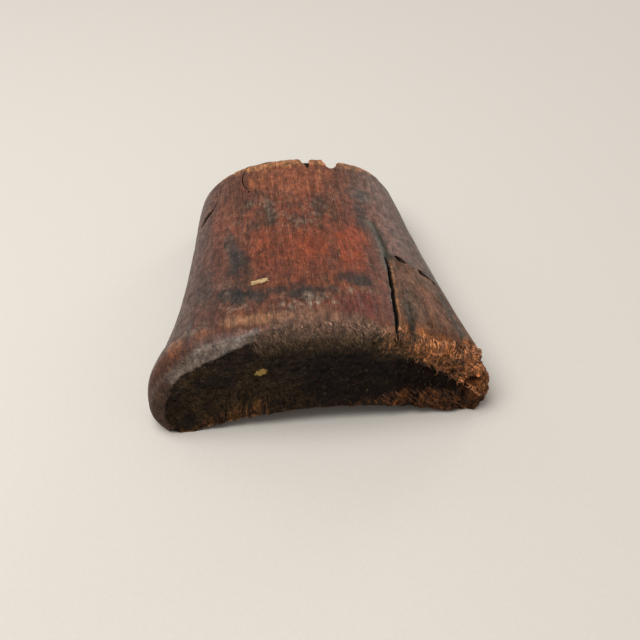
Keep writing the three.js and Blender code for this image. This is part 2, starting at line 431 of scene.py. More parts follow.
class Zones:
    """How far each point belongs to the ends, the back, the torn edge and the other zones."""

    def __init__(self, p, n):
        self.p = p
        self.x, self.s, self.z = p[:, 0], p[:, 1] + LENGTH / 2, p[:, 2]
        x, s, z = self.x, self.s, self.z
        self.top = back_height(x, s)
        self.below = self.top - z
        self.face = ramp(-n[:, 1], 0.5, 0.85) * ramp(12 - s, 0, 4)
        self.rear = ramp(n[:, 1], 0.5, 0.85)
        self.under = ramp(-n[:, 2], 0.15, 0.6) * (1 - self.face) * (1 - self.rear)
        self.back = (1 - self.face) * (1 - self.rear) * (1 - self.under)
        ragged = 2.6 * noise(p, (3.4, 50, 50), 5) + 1.6 * noise(p, (1.9, 50, 50), 6)
        reach = along(TORN_REACH, x) + ragged + 3 * noise(p, (13, 60, 60), 7)
        low = along(TORN_LOW, x) + 1.5 * noise(p, (4, 60, 60), 8) + noise(p, (1.9, 60, 60), 9)
        start = ramp(x + 1.5 * noise(p, 4, 10), -37, -34)
        lobe = ramp(x, 76, 90)
        fingers = 2.6 * noise(p, (3.2, 30, 3.2), 18) * ramp(x, 36, 56)
        self.torn = start * ramp(reach + fingers - s, -1.5, 3) * ramp(z - low, -1.6, 1.2) * (1 - self.under)
        fringe = along(FRINGE_TOP, x - 0.35 * (z - 10) * (x > 0)) + 3 * noise(p, (2.1, 60, 30), 11)
        self.fringe = ramp(fringe - z, -1.2, 1.8) * ramp(5 - s, 0, 3) * (1 - self.torn)
        self.lobe_end = lobe * ramp(16 - s, 0, 9) * ramp(34 - z, 0, 10)
        on_left = ramp(-35 - x + 0.8 * noise(p, 4, 10), -1, 0.8)
        edge = along(BEVEL_LOW, x)
        above = z - edge + 0.4 * noise(p, 3, 12) + 0.8 * noise(p, 13, 13)
        beside = along(TOE_RIM, z) - x + 0.4 * noise(p, 3, 12) + 0.8 * noise(p, 13, 13)
        inside = np.maximum(ramp(above, -0.7, 0.5), ramp(beside, -0.7, 0.5) * (z < 36))
        reach = along(BEVEL_REACH, x) + 1.2 * noise(p, 11, 14)
        self.bevel = on_left * inside * ramp(reach - s, -1.8, 2.2) * (1 - self.under)
        self.hollow = on_left * (1 - inside) * ramp(9 - s, 0, 2) * (1 - self.under)
        # Painted shade on the end grain under the overhanging torn lip
        lip_shade = z - along(LIP_SHADE_LOW, x) + 2 * noise(p, (5, 60, 60), 15) + 1.4 * noise(p, (2, 60, 60), 16)
        self.lip_shade = ramp(lip_shade, -2, 2.5) * ramp(x, -38, -34) * ramp(12 - s, 0, 4) * (1 - self.torn)
        self.face = self.face * (1 - on_left * inside)
        self.rear_edge = ramp(s, LENGTH - 5.5, LENGTH - 1.5) * ramp(z, 20, 32) * (1 - self.rear)


def carve(obj):
    """Turns the clean form into worn, torn and gouged wood."""
    p, n = coordinates(obj)
    keep = obj.data.attributes.new("clean_normal", "FLOAT_VECTOR", "POINT")
    keep.data.foreach_set("vector", n.ravel())
    zone = Zones(p, n)
    x, s, z = zone.x, zone.s, zone.z
    worn = 0.5 * noise(p, 46, 20) + 0.22 * noise(p, 15, 21) + 0.1 * noise(p, (3, 34, 3), 22)
    dents = -0.5 * ramp(noise(p, 9, 23), 0.5, 0.85)
    facets = -0.35 * np.abs(noise(p, (13, 46, 13), 24))
    move = worn * 0.8 + (dents + facets) * zone.back * (1 - zone.bevel)
    move -= 0.6 * zone.bevel * ramp(s, 0, 5) * ramp(along(BEVEL_REACH, x) - s, 0, 5)
    move -= 1.3 * zone.hollow
    move -= 1.1 * trail(zone, CRACK_HEAD, 1.7) + 1.1 * trail(zone, SECOND_STREAK, 1.5)

    # The front end grain is sunk in the middle, pitted all over, and deepest where it is blackest.
    rim = np.minimum(zone.below, z - 6)
    move -= DISH * zone.face * ramp(rim, 0, 17)
    pits = 0.5 * fractal(p, 4.2, 2, 25) - 0.8 * ramp(noise(p, 2.8, 26), 0.25, 0.7)
    pits -= 0.5 * ramp(noise(p, 7, 19), 0.3, 0.8)
    move += pits * np.maximum(zone.face, 0.5 * zone.rear)
    move -= 2.2 * zone.face * spot(x, z, (40, 38), (48, 15)) * (1 - zone.torn)

    # Torn and broomed fibres over the front edge, and the frayed strip along its foot
    warp = x + 2.2 * noise(p, 12, 27) + 0.8 * noise(p, 5, 28)
    fibre_place = np.stack([warp, s * 0.9, z * 0.9], axis=1)
    strands = ridged(fibre_place, (2.5, 9, 9), 29)
    clumps = noise(fibre_place, (6, 16, 16), 30)
    move += zone.torn * (1.3 * strands + (0.7 + 0.9 * ramp(x, 30, 70)) * clumps - 1.7)
    slant = np.stack([warp - 0.55 * z * (x > 0), s, z], axis=1)
    frayed = ridged(slant, (2.3, 10, 13), 31)
    move += zone.fringe * (1.3 * frayed + 0.6 * noise(slant, (7, 12, 12), 32) - 0.5)
    lobe = np.maximum(zone.lobe_end, zone.torn * ramp(x, 44, 78))
    move += lobe * (2.0 * fractal(p, 8, 3, 33) - 1.5 * (1 - ridged(p, 6.5, 34)) - 0.2)
    front = ramp(14 - s, 0, 8)
    move += (3.0 * spot(x, z, KNOB, (4.6, 3.8)) - 3.6 * spot(x, z, CREVICE, (1.7, 4.5))) * front
    move -= 2.4 * spot(x, z, LEDGE, (5, 1.5)) * front

    # The worn arris and broken crumbs of the rear end, and its saw marks
    crumbs = ramp(noise(p, (6, 3, 6), 35), 0.1, 0.7)
    move -= zone.rear_edge * (0.5 + 1.3 * crumbs)
    saw_marks = 0.12 * np.sin(z * 2.1 + 1.4 * noise(p, 30, 36))
    chips = 0.6 * ramp(noise(p, (14, 9, 5), 37), 0.3, 0.8)
    move += zone.rear * (saw_marks - chips)

    # Gouge scallops in the hollow underneath
    row = np.floor(x / GOUGE_WIDTH)
    phase = s / GOUGE_LENGTH + 0.37 * row + 0.3 * noise(p, 24, 38)
    across = np.abs(np.cos(math.pi * (x / GOUGE_WIDTH - row - 0.5)))
    scallop = np.abs(np.sin(math.pi * phase)) * across
    move -= GOUGE_DEPTH * scallop * zone.under * ramp(z, 1, 3)

    moved = p + n * move[:, None]
    moved[:, 1] += zone.torn * ramp(4 - s, 0, 4) * (1.2 + 1.3 * noise(p, (4.5, 40, 40), 39))
    moved[:, 2] = np.maximum(moved[:, 2], 0)
    place_points(obj, moved)


# ---------------------------------------------------------------------------------------------
# Cracks, holes and the joint of the corner piece
# ---------------------------------------------------------------------------------------------
# A section across a crack, as (share of the half width, share of the depth) from lip to lip
CRACK_SECTION = [
    (-1, 0), (-0.85, -0.2), (-0.6, -0.55), (-0.15, -1), (0.15, -1), (0.6, -0.55), (0.85, -0.2), (1, 0),
]
CLEARANCE = 2.6  # how far a cutter stands above the surface

# Cracks over the back, each a path of (x, s, half width, depth)
LONG_CRACK = [
    (47.1, 86, 0.4, 0.5), (47.1, 79, 1.2, 2.2), (46.7, 67, 1.4, 5), (45.7, 54, 1.35, 12),
    (45, 44, 1.25, 15), (43.8, 28, 1.35, 14), (42.8, 14, 1.15, 12), (42.3, 6, 0.7, 7), (42, 0, 0.2, 2),
]
UPPER_PIT = [
    (53.4, 84.2, 0.5, 2), (54.9, 82.8, 2.6, 6), (56.6, 81.2, 3.4, 7.5), (58.4, 79.9, 2.2, 6),
    (60, 78.9, 0.3, 1.5),
]
LOWER_PIT = [
    (66.4, 76.9, 0.4, 1.5), (68.2, 76, 2.4, 6), (70, 75, 2.2, 6.5), (72.4, 73.8, 0.9, 2.5),
    (75, 72.6, 0.4, 1.2),
]
THIRD_PIT = [(74.8, 72.1, 0.3, 1), (76.2, 71.3, 1.7, 4), (77.6, 70.5, 0.3, 1)]
LEFT_SLIT = [
    (-66.6, 149.6, 0.5, 2), (-63.8, 152, 2.7, 7), (-60.8, 154.2, 3.0, 7.5), (-58, 156.2, 1.5, 4),
    (-56, 158, 0.2, 1),
]
LEFT_GROOVE = [
    (-56.4, 157.5, 0.4, 0.7), (-53.8, 165, 0.5, 0.8), (-51.4, 176, 0.4, 0.6), (-50.6, 182, 0.1, 0.3),
]
FLAKE = [
    (-29.6, 193.5, 0.2, 0.9), (-34.2, 187, 0.4, 1.6), (-36.4, 178, 0.45, 1.7), (-35.6, 168, 0.4, 1.6),
    (-33, 160, 0.3, 1),
]
REAR_CHECK = [(-12, 196, 0.3, 2), (-13.2, 188, 0.25, 1.4), (-13.8, 180, 0.1, 0.6)]
CROWN_CHECK = [(21, 152, 0.1, 0.4), (21.6, 140, 0.22, 0.8), (21.9, 122, 0.2, 0.7), (21.5, 106, 0.1, 0.4)]
LEFT_CHECK = [(-72, 84, 0.1, 0.5), (-75, 66, 0.3, 1.4), (-79, 44, 0.25, 1.2), (-82, 30, 0.1, 0.4)]
BACK_CRACKS = [
    LONG_CRACK, UPPER_PIT, LOWER_PIT, THIRD_PIT, LEFT_SLIT, LEFT_GROOVE, FLAKE, REAR_CHECK, CROWN_CHECK,
    LEFT_CHECK,
]
# Drying checks in the rear end, each a path of (x, z, half width, depth)
REAR_CHECKS = [
    [(-13, 57, 0.5, 4), (-11, 44, 0.45, 5), (-9.5, 30, 0.1, 1)],
    [(41, 49, 0.35, 3), (34, 38, 0.3, 3), (28, 27, 0.1, 1)],
    [(-47, 40, 0.4, 3), (-39, 30, 0.3, 3), (-33, 22, 0.1, 1)],
    [(12, 38, 0.1, 1), (9.5, 27, 0.3, 3), (8, 16, 0.1, 1)],
]
# Holes by the broken rear edge: (x, s, radius, depth)
HOLES = [
    (33.8, 192.2, 1.5, 4), (-32.6, 158.2, 1.2, 3), (-24.5, 191.5, 1.2, 3), (-19, 190.8, 0.8, 3),
    (27.6, 178.4, 0.9, 3), (38.6, 190, 0.9, 3),
]
NOTCH = [
    (3.4, LENGTH + 2), (4.4, 190), (5.4, 185), (6.6, 180.5), (8, 178.6), (9.4, 181.5), (10.3, 186),
    (11.3, 190.5), (12.6, LENGTH + 2),
]
BITE = [
    (18.4, LENGTH + 2), (19.6, 190), (20.5, 186.2), (21.4, 182.4), (23.8, 179.2), (26.2, 180.4),
    (28.9, 185.2), (30.7, 189), (32.8, LENGTH + 2),
]
NOTCH_FLOOR = 52
BITE_FLOOR = 44
CORNER_LINE = [(42, -12), (44.6, 34), (47.5, 86), (66, 77.5), (112, 57)]


def back_frame(x, s):
    """(points, normals) on the back."""
    d = 0.25
    height = back_height(x, s)
    rise_x = (back_height(x + d, s) - back_height(x - d, s)) / (2 * d)
    rise_s = (back_height(x, np.minimum(s + d, LENGTH)) - back_height(x, np.maximum(s - d, 0))) / (2 * d)
    normals = np.stack([-rise_x, -rise_s, np.ones_like(x)], axis=1)
    points = np.stack([x, s - LENGTH / 2, height], axis=1)
    return points, normals / np.linalg.norm(normals, axis=1)[:, None]


def spread(path, step):
    """A path of rows, drawn again smoothly in small steps."""
    path = np.array(path, float)
    at = np.concatenate([[0], np.cumsum(np.linalg.norm(np.diff(path[:, :2], axis=0), axis=1))])
    fine = np.linspace(0, at[-1], max(6, int(at[-1] / step)))
    return np.stack([profile(list(zip(at, path[:, k])))(fine) for k in range(path.shape[1])], axis=1)


def crack_cutter(name, points, normals, half_width, depth, seed):
    """A closed wedge along points on a surface, open above it and narrowing to a ragged floor."""
    ahead = np.gradient(points, axis=0)
    side = np.cross(ahead, normals)
    side /= np.linalg.norm(side, axis=1)[:, None]
    lips = [(-1.15, None), *CRACK_SECTION, (1.15, None)]
    rings = []
    for k, (across, down) in enumerate(lips):
        shake = 1 + 0.3 * noise(points, 1.9, seed + k) + 0.2 * noise(points, 5, seed + 40 + k)
        sink = np.full(len(points), CLEARANCE)
        if down is not None:
            sink = down * depth * (1 + 0.25 * noise(points, 3, seed + 60))
        rings.append(points + side * (across * half_width * shake)[:, None] + normals * sink[:, None])
    count, around = len(points), len(rings)
    verts = np.stack(rings, axis=1).reshape(-1, 3)
    faces = []
    for i in range(count - 1):
        for j in range(around):
            n = (j + 1) % around
            faces.append((i * around + j, (i + 1) * around + j, (i + 1) * around + n, i * around + n))
    faces.append(tuple(range(around)))
    faces.append(tuple((count - 1) * around + j for j in reversed(range(around))))
    return closed_cutter(name, verts, faces)


def closed_cutter(name, verts, faces):
    """A cutter object with its faces turned outward."""
    cutter = make_object(name, verts, faces, smooth=False)
    with bmesh_of(cutter) as work:
        bmesh.ops.triangulate(work, faces=work.faces)
        bmesh.ops.recalc_face_normals(work, faces=work.faces)
    return cutter


def upright_cutter(name, outline, floor, roof, draft=1.0):
    """A closed prism over an outline of (x, s), its foot drawn in by the draft."""
    top = np.array([(x, s - LENGTH / 2) for x, s in outline])
    foot = top.mean(axis=0) + (top - top.mean(axis=0)) * draft
    count = len(top)
    levels = [(foot, floor), ((top + foot) / 2, (floor + roof) / 2), (top, roof)]
    verts = np.concatenate([np.column_stack([flat, np.full(count, z)]) for flat, z in levels])
    return closed_cutter(name, verts, tube_faces(len(levels), count))


def ragged_outline(outline, step, amount, seed):
    """An outline drawn in small steps with a broken edge."""
    line = np.array(outline, float)
    fine = evenly(line, int(np.linalg.norm(np.diff(line, axis=0), axis=1).sum() / step))
    at = np.column_stack([fine, np.zeros(len(fine))])
    fine[:, 0] += amount * fractal(at, 4, 2, seed)
    fine[:, 1] += amount * fractal(at, 4, 2, seed + 7)
    return fine


def hole_cutter(name, x, s, radius, depth, seed):
    """A ragged well, narrower at its foot."""
    turn = np.linspace(0, 2 * math.pi, 13)[:-1]
    ring = np.stack([np.cos(turn), np.sin(turn), np.zeros(12)], axis=1)
    size = radius * (1 + 0.35 * noise(ring * 3 + seed, 2, seed))
    outline = [(x + r * math.cos(t), s + 1.2 * r * math.sin(t)) for r, t in zip(size, turn)]
    height = float(back_height(np.array([x]), np.array([s]))[0])
    return upright_cutter(name, outline, height - depth, height + 3, 0.6)


def boolean(obj, cutter, operation):
    """Applies one boolean to obj, and removes the cutter."""
    modifier = obj.modifiers.new("cut", "BOOLEAN")
    modifier.operation = operation
    modifier.solver = "MANIFOLD"
    modifier.object = cutter
    result = bpy.data.meshes.new_from_object(obj.evaluated_get(bpy.context.evaluated_depsgraph_get()))
    obj.modifiers.clear()
    old = obj.data
    obj.data = result
    bpy.data.meshes.remove(old)
    bpy.data.objects.remove(cutter)


def open_cracks(obj):
    """Cuts every crack, hole and broken edge into the block."""
    cutters = []
    for k, path in enumerate(BACK_CRACKS):
        rows = spread(path, 0.8)
        at = np.column_stack([rows[:, :2], np.zeros(len(rows))])
        x = rows[:, 0] + 0.35 * noise(at, 5, 70 + k)
        points, normals = back_frame(x, np.clip(rows[:, 1], 0.1, LENGTH - 0.1))
        points[:, 1] = rows[:, 1] - LENGTH / 2
        cutters.append(crack_cutter("crack", points, normals, rows[:, 2], rows[:, 3], 80 + 10 * k))
    for k, path in enumerate(REAR_CHECKS):
        rows = spread(path, 0.8)
        at = np.column_stack([rows[:, :2], np.zeros(len(rows))])
        x = rows[:, 0] + 0.5 * noise(at, 6, 90 + k)
        points = np.column_stack([x, np.full(len(rows), LENGTH / 2 - 0.2), rows[:, 1]])
        normals = np.tile([0.0, 1.0, 0.0], (len(rows), 1))
        cutters.append(crack_cutter("check", points, normals, rows[:, 2], rows[:, 3], 180 + 10 * k))
    for k, (x, s, radius, depth) in enumerate(HOLES):
        cutters.append(hole_cutter("hole", x, s, radius, depth, 220 + k))
    cutters.append(upright_cutter("notch", ragged_outline(NOTCH, 0.8, 1.0, 230), NOTCH_FLOOR, CROWN + 4, 0.9))
    cutters.append(upright_cutter("bite", ragged_outline(BITE, 0.8, 1.5, 240), BITE_FLOOR, CROWN + 4, 0.95))
    for cutter in cutters:
        boolean(obj, cutter, "DIFFERENCE")


def corner_prism(shift):
    """The corner piece's plan as an upright prism, its joint line moved by the shift."""
    line = ragged_outline(CORNER_LINE, 0.9, 0.45, 250) + np.array(shift)
    return upright_cutter("corner_region", [*line, (116, -14)], -12, CROWN + 12)


def split_corner(obj):
    """Parts the block at the joint, and returns the corner piece."""
    corner = obj.copy()
    corner.data = obj.data.copy()
    corner.name = "corner_piece_wood"
    bpy.context.scene.collection.objects.link(corner)
    boolean(corner, corner_prism((0.06, -0.06)), "INTERSECT")
    boolean(obj, corner_prism((0, 0)), "DIFFERENCE")
    return corner


# ---------------------------------------------------------------------------------------------
# The paint: broad colour, and how torn, deep, worn and rough each place is
# ---------------------------------------------------------------------------------------------
RED = (0.155, 0.034, 0.014)
DUSTY = (0.195, 0.066, 0.032)
WARM = (0.190, 0.072, 0.028)
RED_BROWN = (0.088, 0.031, 0.016)
BROWN = (0.060, 0.027, 0.014)
UMBER = (0.038, 0.017, 0.009)
# Painted shade for the lower rim of the left toe
TOE_RIM_SHADE = (0.034, 0.013, 0.006)
STRIP = (0.140, 0.078, 0.050)
TAN = (0.235, 0.118, 0.062)
BLOTCH = (0.021, 0.016, 0.014)
GREY_SCUFF = (0.205, 0.150, 0.110)
LILAC = (0.165, 0.112, 0.092)
MAROON = (0.095, 0.022, 0.015)
VIVID = (0.240, 0.040, 0.011)
ORANGE = (0.260, 0.085, 0.028)
OCHRE = (0.310, 0.130, 0.050)
# Painted sheen of the worn left bevel, and pale flecks in that sheen
BEVEL_SHEEN = (0.118, 0.089, 0.072)
BEVEL_SHEEN_FLECK = (0.270, 0.235, 0.205)
# Painted shade under the torn lip of the front end
LIP_SHADE = (0.030, 0.016, 0.006)
PURPLE = (0.066, 0.022, 0.015)
OLIVE = (0.021, 0.011, 0.003)
BLACK = (0.0060, 0.0016, 0.0004)
TORN_TOP = (0.125, 0.070, 0.046)
TORN_LOW_WOOD = (0.055, 0.036, 0.016)
TORN_RIGHT = (0.520, 0.203, 0.080)
FRAYED = (0.088, 0.031, 0.009)
FRAYED_LEFT = (0.092, 0.041, 0.010)
FRAYED_DARK = (0.010, 0.004, 0.0015)
GREY_WOOD = (0.090, 0.031, 0.011)
CORNER_ORANGE = (0.155, 0.058, 0.024)
GREEN_GREY = (0.052, 0.046, 0.034)
DARK_GREEN = (0.022, 0.020, 0.014)
UNDERNEATH = (0.095, 0.047, 0.024)
UNDER_WORN = (0.175, 0.088, 0.044)
UNDER_DARK = (0.034, 0.017, 0.009)
REAR_WOOD = (0.135, 0.066, 0.031)
# Near black: painted shade and grime in cuts and crevices, and the colour of dark pores and specks
SHADE_AND_DARK_MARKS = (0.009, 0.006, 0.004)


class Coat:
    """Colours built up over a surface."""

    def __init__(self, base, count):
        self.colour = np.tile(np.array(base, float), (count, 1))

    def add(self, colour, share):
        share = np.clip(share, 0, 1)[:, None]
        self.colour = self.colour * (1 - share) + np.array(colour) * share


# Patches of colour on the crown: colour, (x, s), (half width, half length), strength
PATCHES = [
    (RED, (-27, 88), (11, 22), 0.6), (RED, (-4, 88), (16, 26), 0.7), (VIVID, (27, 84), (13, 24), 0.6),
    (VIVID, (31, 104), (8, 12), 0.4), (VIVID, (2, 84), (7, 14), 0.35), (RED, (2, 166), (26, 20), 0.85),
    (MAROON, (26, 28), (19, 13), 0.9), (MAROON, (42, 30), (6, 16), 0.8),
    (MAROON, (-24, 66), (12, 10), 0.4), (BLOTCH, (-44, 86), (7, 20), 0.8),
    (BLOTCH, (-42, 58), (7, 12), 0.5), (BLOTCH, (-8, 40), (12, 8), 0.85),
    (BLOTCH, (24, 53), (14, 5), 0.55), (GREEN_GREY, (40, 150), (10, 8), 0.6),
    # The red patch at (-50, 126) is painted sheen of the left shoulder, tinted red
    (RED, (-50, 126), (9, 34), 0.55), (DUSTY, (2, 166), (28, 19), 0.6), (WARM, (66, 17), (20, 10), 0.75),
    (BLOTCH, (-43, 43), (9, 11), 1.0), (BLOTCH, (-51, 47), (7, 8), 0.8),
    (BLOTCH, (-34, 39), (8, 8), 0.85), (BLOTCH, (-48, 106), (3.5, 16), 0.8),
    (BLOTCH, (-44, 80), (4, 17), 0.8), (BLOTCH, (-37, 72), (3, 12), 0.55),
    (BLOTCH, (-20, 128), (3.5, 15), 0.75), (BLOTCH, (-5, 117), (5, 8), 0.6),
    (BLOTCH, (37, 75), (3, 13), 0.6), (BLOTCH, (28, 49), (8, 5), 0.8), (BLOTCH, (-14, 44), (13, 5), 0.8),
    (BLOTCH, (4, 41), (9, 5), 0.65), (BLOTCH, (37, 124), (3, 18), 0.7), (BLOTCH, (40, 151), (8, 7), 0.45),
    (BLOTCH, (-64, 66), (6, 22), 0.45), (BLOTCH, (-29, 150), (6, 7), 0.4),
    (BLOTCH, (12, 131), (4, 9), 0.45), (BLOTCH, (20, 160), (4, 8), 0.35),
    (BLOTCH, (-74, 26), (3, 13), 0.6), (ORANGE, (-81, 17), (5, 7), 0.5), (ORANGE, (-66, 17), (5, 4), 0.3),
    (TAN, (-32, 20), (18, 5.5), 0.6), (STRIP, (45, 78), (2, 22), 0.75), (TAN, (-48, 22), (8, 5), 0.5),
    (ORANGE, (-27, 172), (6, 12), 0.4), (STRIP, (-52, 60), (6, 5), 0.4),
]
# Worn grey scuffs: (x, s), (half width, half length), strength
SCUFFS = [
    ((-15, 29), (9, 4), 1.0), ((-4, 30), (9, 6), 1.2), ((6, 31), (8, 4), 0.7), ((-10, 37), (11, 4), 0.7),
    ((20, 41), (12, 3.5), 0.7), ((-47, 52), (5, 3), 0.9), ((-44, 34), (12, 5), 0.5),
    ((-72, 24), (14, 7), 0.5), ((-5, 130), (30, 18), 0.45), ((-46, 120), (8, 24), 0.3),
    ((46, 168), (12, 12), 0.3), ((-2, 114), (9, 7), 0.35), ((-28, 140), (10, 9), 0.35),
    ((34, 150), (12, 10), 0.3),
]


def crown_coat(zone):
    """The patina of the back and sides."""
    p, x, s = zone.p, zone.x, zone.s
    coat = Coat(RED_BROWN, len(p))
    streak = fractal(p, (4.5, 70, 4.5), 3, 300)
    cloud = fractal(p, 20, 3, 301)
    broken = fractal(p, (5, 9, 5), 3, 305) + 0.35 * noise(p, (1.7, 2.6, 1.7), 302)
    coat.add(RED, spot(x, s, (4, 96), (50, 78)) * (0.75 + 0.7 * streak + 0.4 * cloud))
    coat.add(BROWN, 0.8 * ramp(streak + 0.8 * cloud + 0.3 * broken, 0.0, 0.55))
    coat.add(UMBER, 0.8 * ramp(-x, 48, 72) * (0.8 + 0.6 * broken) + 0.65 * ramp(x, 58, 82))
    # Painted shade: the sides darker towards the table
    coat.add(UMBER, 0.9 * ramp(34 - zone.z, 0, 20))
    coat.add(PURPLE, 0.85 * ramp(-x + 10 * cloud, 36, 58) * ramp(broken + 0.4 * streak, -0.5, 0.35))
    strip = ramp(31 - s, 0, 16) * ramp(x, -40, -20) * (1 - ramp(x, 18, 30))
    coat.add(STRIP, 0.9 * strip * (0.8 + 0.5 * cloud))
    coat.add(BLOTCH, 0.45 * ramp(fractal(p, (8, 16, 8), 3, 303), 0.2, 0.6))
    tint = ramp(fractal(p, (6, 11, 6), 3, 296), 0.0, 0.5)
    coat.add(MAROON, 0.55 * tint * spot(x, s, (4, 108), (48, 80)))
    for colour, at, radius, share in PATCHES:
        patch = spot(x, s, at, radius) * (1 + 0.8 * broken + 0.5 * streak)
        coat.add(colour, share * ramp(patch, 0.15, 0.75))
    flecks = ramp(fractal(p, (2.2, 3, 2.2), 4, 306) + 0.3 * noise(p, (7, 4, 7), 299), -0.15, 0.55)
    for at, radius, share in SCUFFS:
        coat.add(GREY_SCUFF, share * spot(x, s, at, radius) * flecks)
    start = LENGTH - 14 + 0.25 * np.maximum(np.abs(x - 4) - 30, 0)
    edge = ramp(s + 4 * fractal(p, (6, 5, 6), 3, 304) - start, -1.5, 3) * ramp(zone.z, 20, 34)
    coat.add(OCHRE, 0.9 * np.maximum(zone.rear_edge, edge))
    coat.add(BLOTCH, 0.6 * edge * ramp(fractal(p, (5, 4, 5), 2, 307), 0.15, 0.5))
    return coat


def shaded(dark, light, share):
    """One colour per point, from dark to light."""
    return np.array(dark) + (np.array(light) - np.array(dark)) * np.clip(share, 0, 1)[:, None]


def paint_block(zone, coat):
    """Torn edge, ends and underside over the patina."""
    p, x, s, z = zone.p, zone.x, zone.s, zone.z
    # Painted sheen over the worn left bevel, flecked paler
    coat.add(BEVEL_SHEEN, 0.95 * zone.bevel)
    fleck = ramp(fractal(p, (2.6, 2.6, 2.6), 3, 308), 0.1, 0.5) * ramp(noise(p, 12, 309), -0.5, 0.3)
    coat.add(BEVEL_SHEEN_FLECK, 0.9 * zone.bevel * fleck)
    coat.add(UMBER, 0.5 * zone.bevel * ramp(noise(p, 7, 310), 0.2, 0.7))
    # Painted shade: the toe rim of the bevel darker towards the table
    coat.add(TOE_RIM_SHADE, 0.95 * zone.bevel * ramp(44 + 5 * noise(p, 9, 298) - z, 0, 12))
    end = np.maximum(zone.face, zone.hollow)
    coat.add(OLIVE, end)
    # Black over the end grain, partly real soot and partly painted shade: strongest from the middle to the
    # right, weaker near the top.
    soot_and_shade = ramp(x + 11 * noise(p, 14, 312), -42, 4) * (1 - 0.55 * ramp(z + 4 * noise(p, 9, 313), 50, 62))
    soot_and_shade = np.maximum(soot_and_shade, 0.75 * ramp(noise(p, (11, 9, 9), 314), 0.05, 0.5))
    coat.add(BLACK, end * soot_and_shade)
    # Painted shade on the end grain just under the overhang of the left bevel
    coat.add(BLACK, 0.8 * zone.hollow * ramp(5 - zone.below, 0, 4))
    torn = shaded(TORN_LOW_WOOD, TORN_TOP, ramp(s + 2.5 * noise(p, 5, 315), 1, 10))
    torn = torn + (np.array(TORN_RIGHT) - torn) * ramp(x + 9 * noise(p, 9, 316), 26, 66)[:, None]
    torn = torn * (1 + 0.75 * fractal(p, (5, 9, 9), 3, 317))[:, None]
    # Painted shade under the torn lip
    coat.add(LIP_SHADE, zone.lip_shade)
    share = zone.torn[:, None]
    coat.colour = coat.colour * (1 - share) + torn * share
    slant = np.stack([x - 0.55 * z * (x > 0), s, z], axis=1)
    stroke = ramp(noise(slant, (2.0, 30, 14), 311), -0.3, 0.5)
    lit = np.array(FRAYED) + (np.array(FRAYED_LEFT) - np.array(FRAYED)) * ramp(-x, -10, 20)[:, None]
    frayed = np.array(FRAYED_DARK) + (lit - np.array(FRAYED_DARK)) * stroke[:, None]
    share = zone.fringe[:, None]
    coat.colour = coat.colour * (1 - share) + frayed * share
    coat.add(FRAYED, 0.6 * zone.lobe_end)
    # Painted shade in the crevice beside the knob and under the ledge
    crevice = spot(x, z, CREVICE, (1.8, 5)) + spot(x, z, LEDGE, (5, 1.6))
    coat.add(SHADE_AND_DARK_MARKS, 0.9 * crevice * ramp(14 - s, 0, 8))
    coat.add(UNDERNEATH, zone.under)
    coat.add(UNDER_WORN, 0.8 * zone.under * ramp(2.4 + 2 * noise(p, 12, 321) - z, -1, 2))
    coat.add(UNDER_DARK, 0.8 * zone.under * ramp(fractal(p, (12, 26, 12), 3, 322), -0.05, 0.5))
    coat.add(UNDER_DARK, 0.6 * zone.under * ramp(noise(p, (4, 60, 4), 323), 0.1, 0.6))
    coat.add(UNDER_WORN, 0.6 * zone.under * ramp(noise(p, (8, 19, 8), 324), 0.25, 0.7))
    coat.add(REAR_WOOD, zone.rear)


def under_skin(skin, p, chosen):
    """For the chosen points, how deep they lie under the carved surface and its normal there."""
    depth = np.zeros(len(p))
    normals = np.zeros((len(p), 3))
    for k in np.flatnonzero(chosen):
        _, normal, _, distance = skin.find_nearest(Vector(p[k] * MM))
        depth[k] = distance / MM
        normals[k] = normal
    return depth, normals


def corner_coat(zone, coat):
    """The corner piece's duller and more orange wood, over the patina."""
    x, s, back = zone.x, zone.s, zone.back
    cloud = fractal(zone.p, (16, 30, 16), 3, 320)
    coat.add(GREY_WOOD, 0.9 * back)
    coat.add(CORNER_ORANGE, ramp(cloud + 0.4 * spot(x, s, (76, 36), (14, 22)), 0.0, 0.6) * back)
    coat.add(GREEN_GREY, 0.5 * spot(x, s, (54, 34), (6, 28)) + 0.5 * spot(x, s, (70, 64), (9, 8)))
    # Painted shade: the sides darker towards the table
    coat.add(UMBER, 0.7 * ramp(30 - zone.z, 0, 16) * back)
    coat.add(OCHRE, 0.7 * spot(x, s, (61.5, 79.3), (1.8, 1.2)))
    # Painted lilac highlight on the worn edge along the seam
    coat.add(LILAC, 0.6 * trail(zone, WORN_SEAM_HIGHLIGHT, 1.3))
    coat.add(GREEN_GREY, 0.8 * trail(zone, SHOULDER_STREAK, 2.6))
    coat.add(ORANGE, 0.5 * spot(x, s, (56, 12), (6, 6)))


def crack_coat(zone, coat):
    """Stains in and beside the long crack, and a pale line on the crown near the notch."""
    x, s, back = zone.x, zone.s, zone.back
    coat.add(GREEN_GREY, 0.9 * trail(zone, CRACK_HEAD, 3.6) + 0.8 * trail(zone, LONG_CRACK, 2.2))
    coat.add(DARK_GREEN, 0.85 * trail(zone, CRACK_HEAD[1:], 1.9))
    across, beside = near_path(x, s, LONG_CRACK[1:7])
    coat.add(OCHRE, 0.6 * np.exp(-(((across - 2) / 0.7) ** 2)) * beside * back)
    across, beside = near_path(x, s, CROWN_LINE)
    coat.add(OCHRE, 0.6 * np.exp(-((across / 0.8) ** 2)) * beside * back)


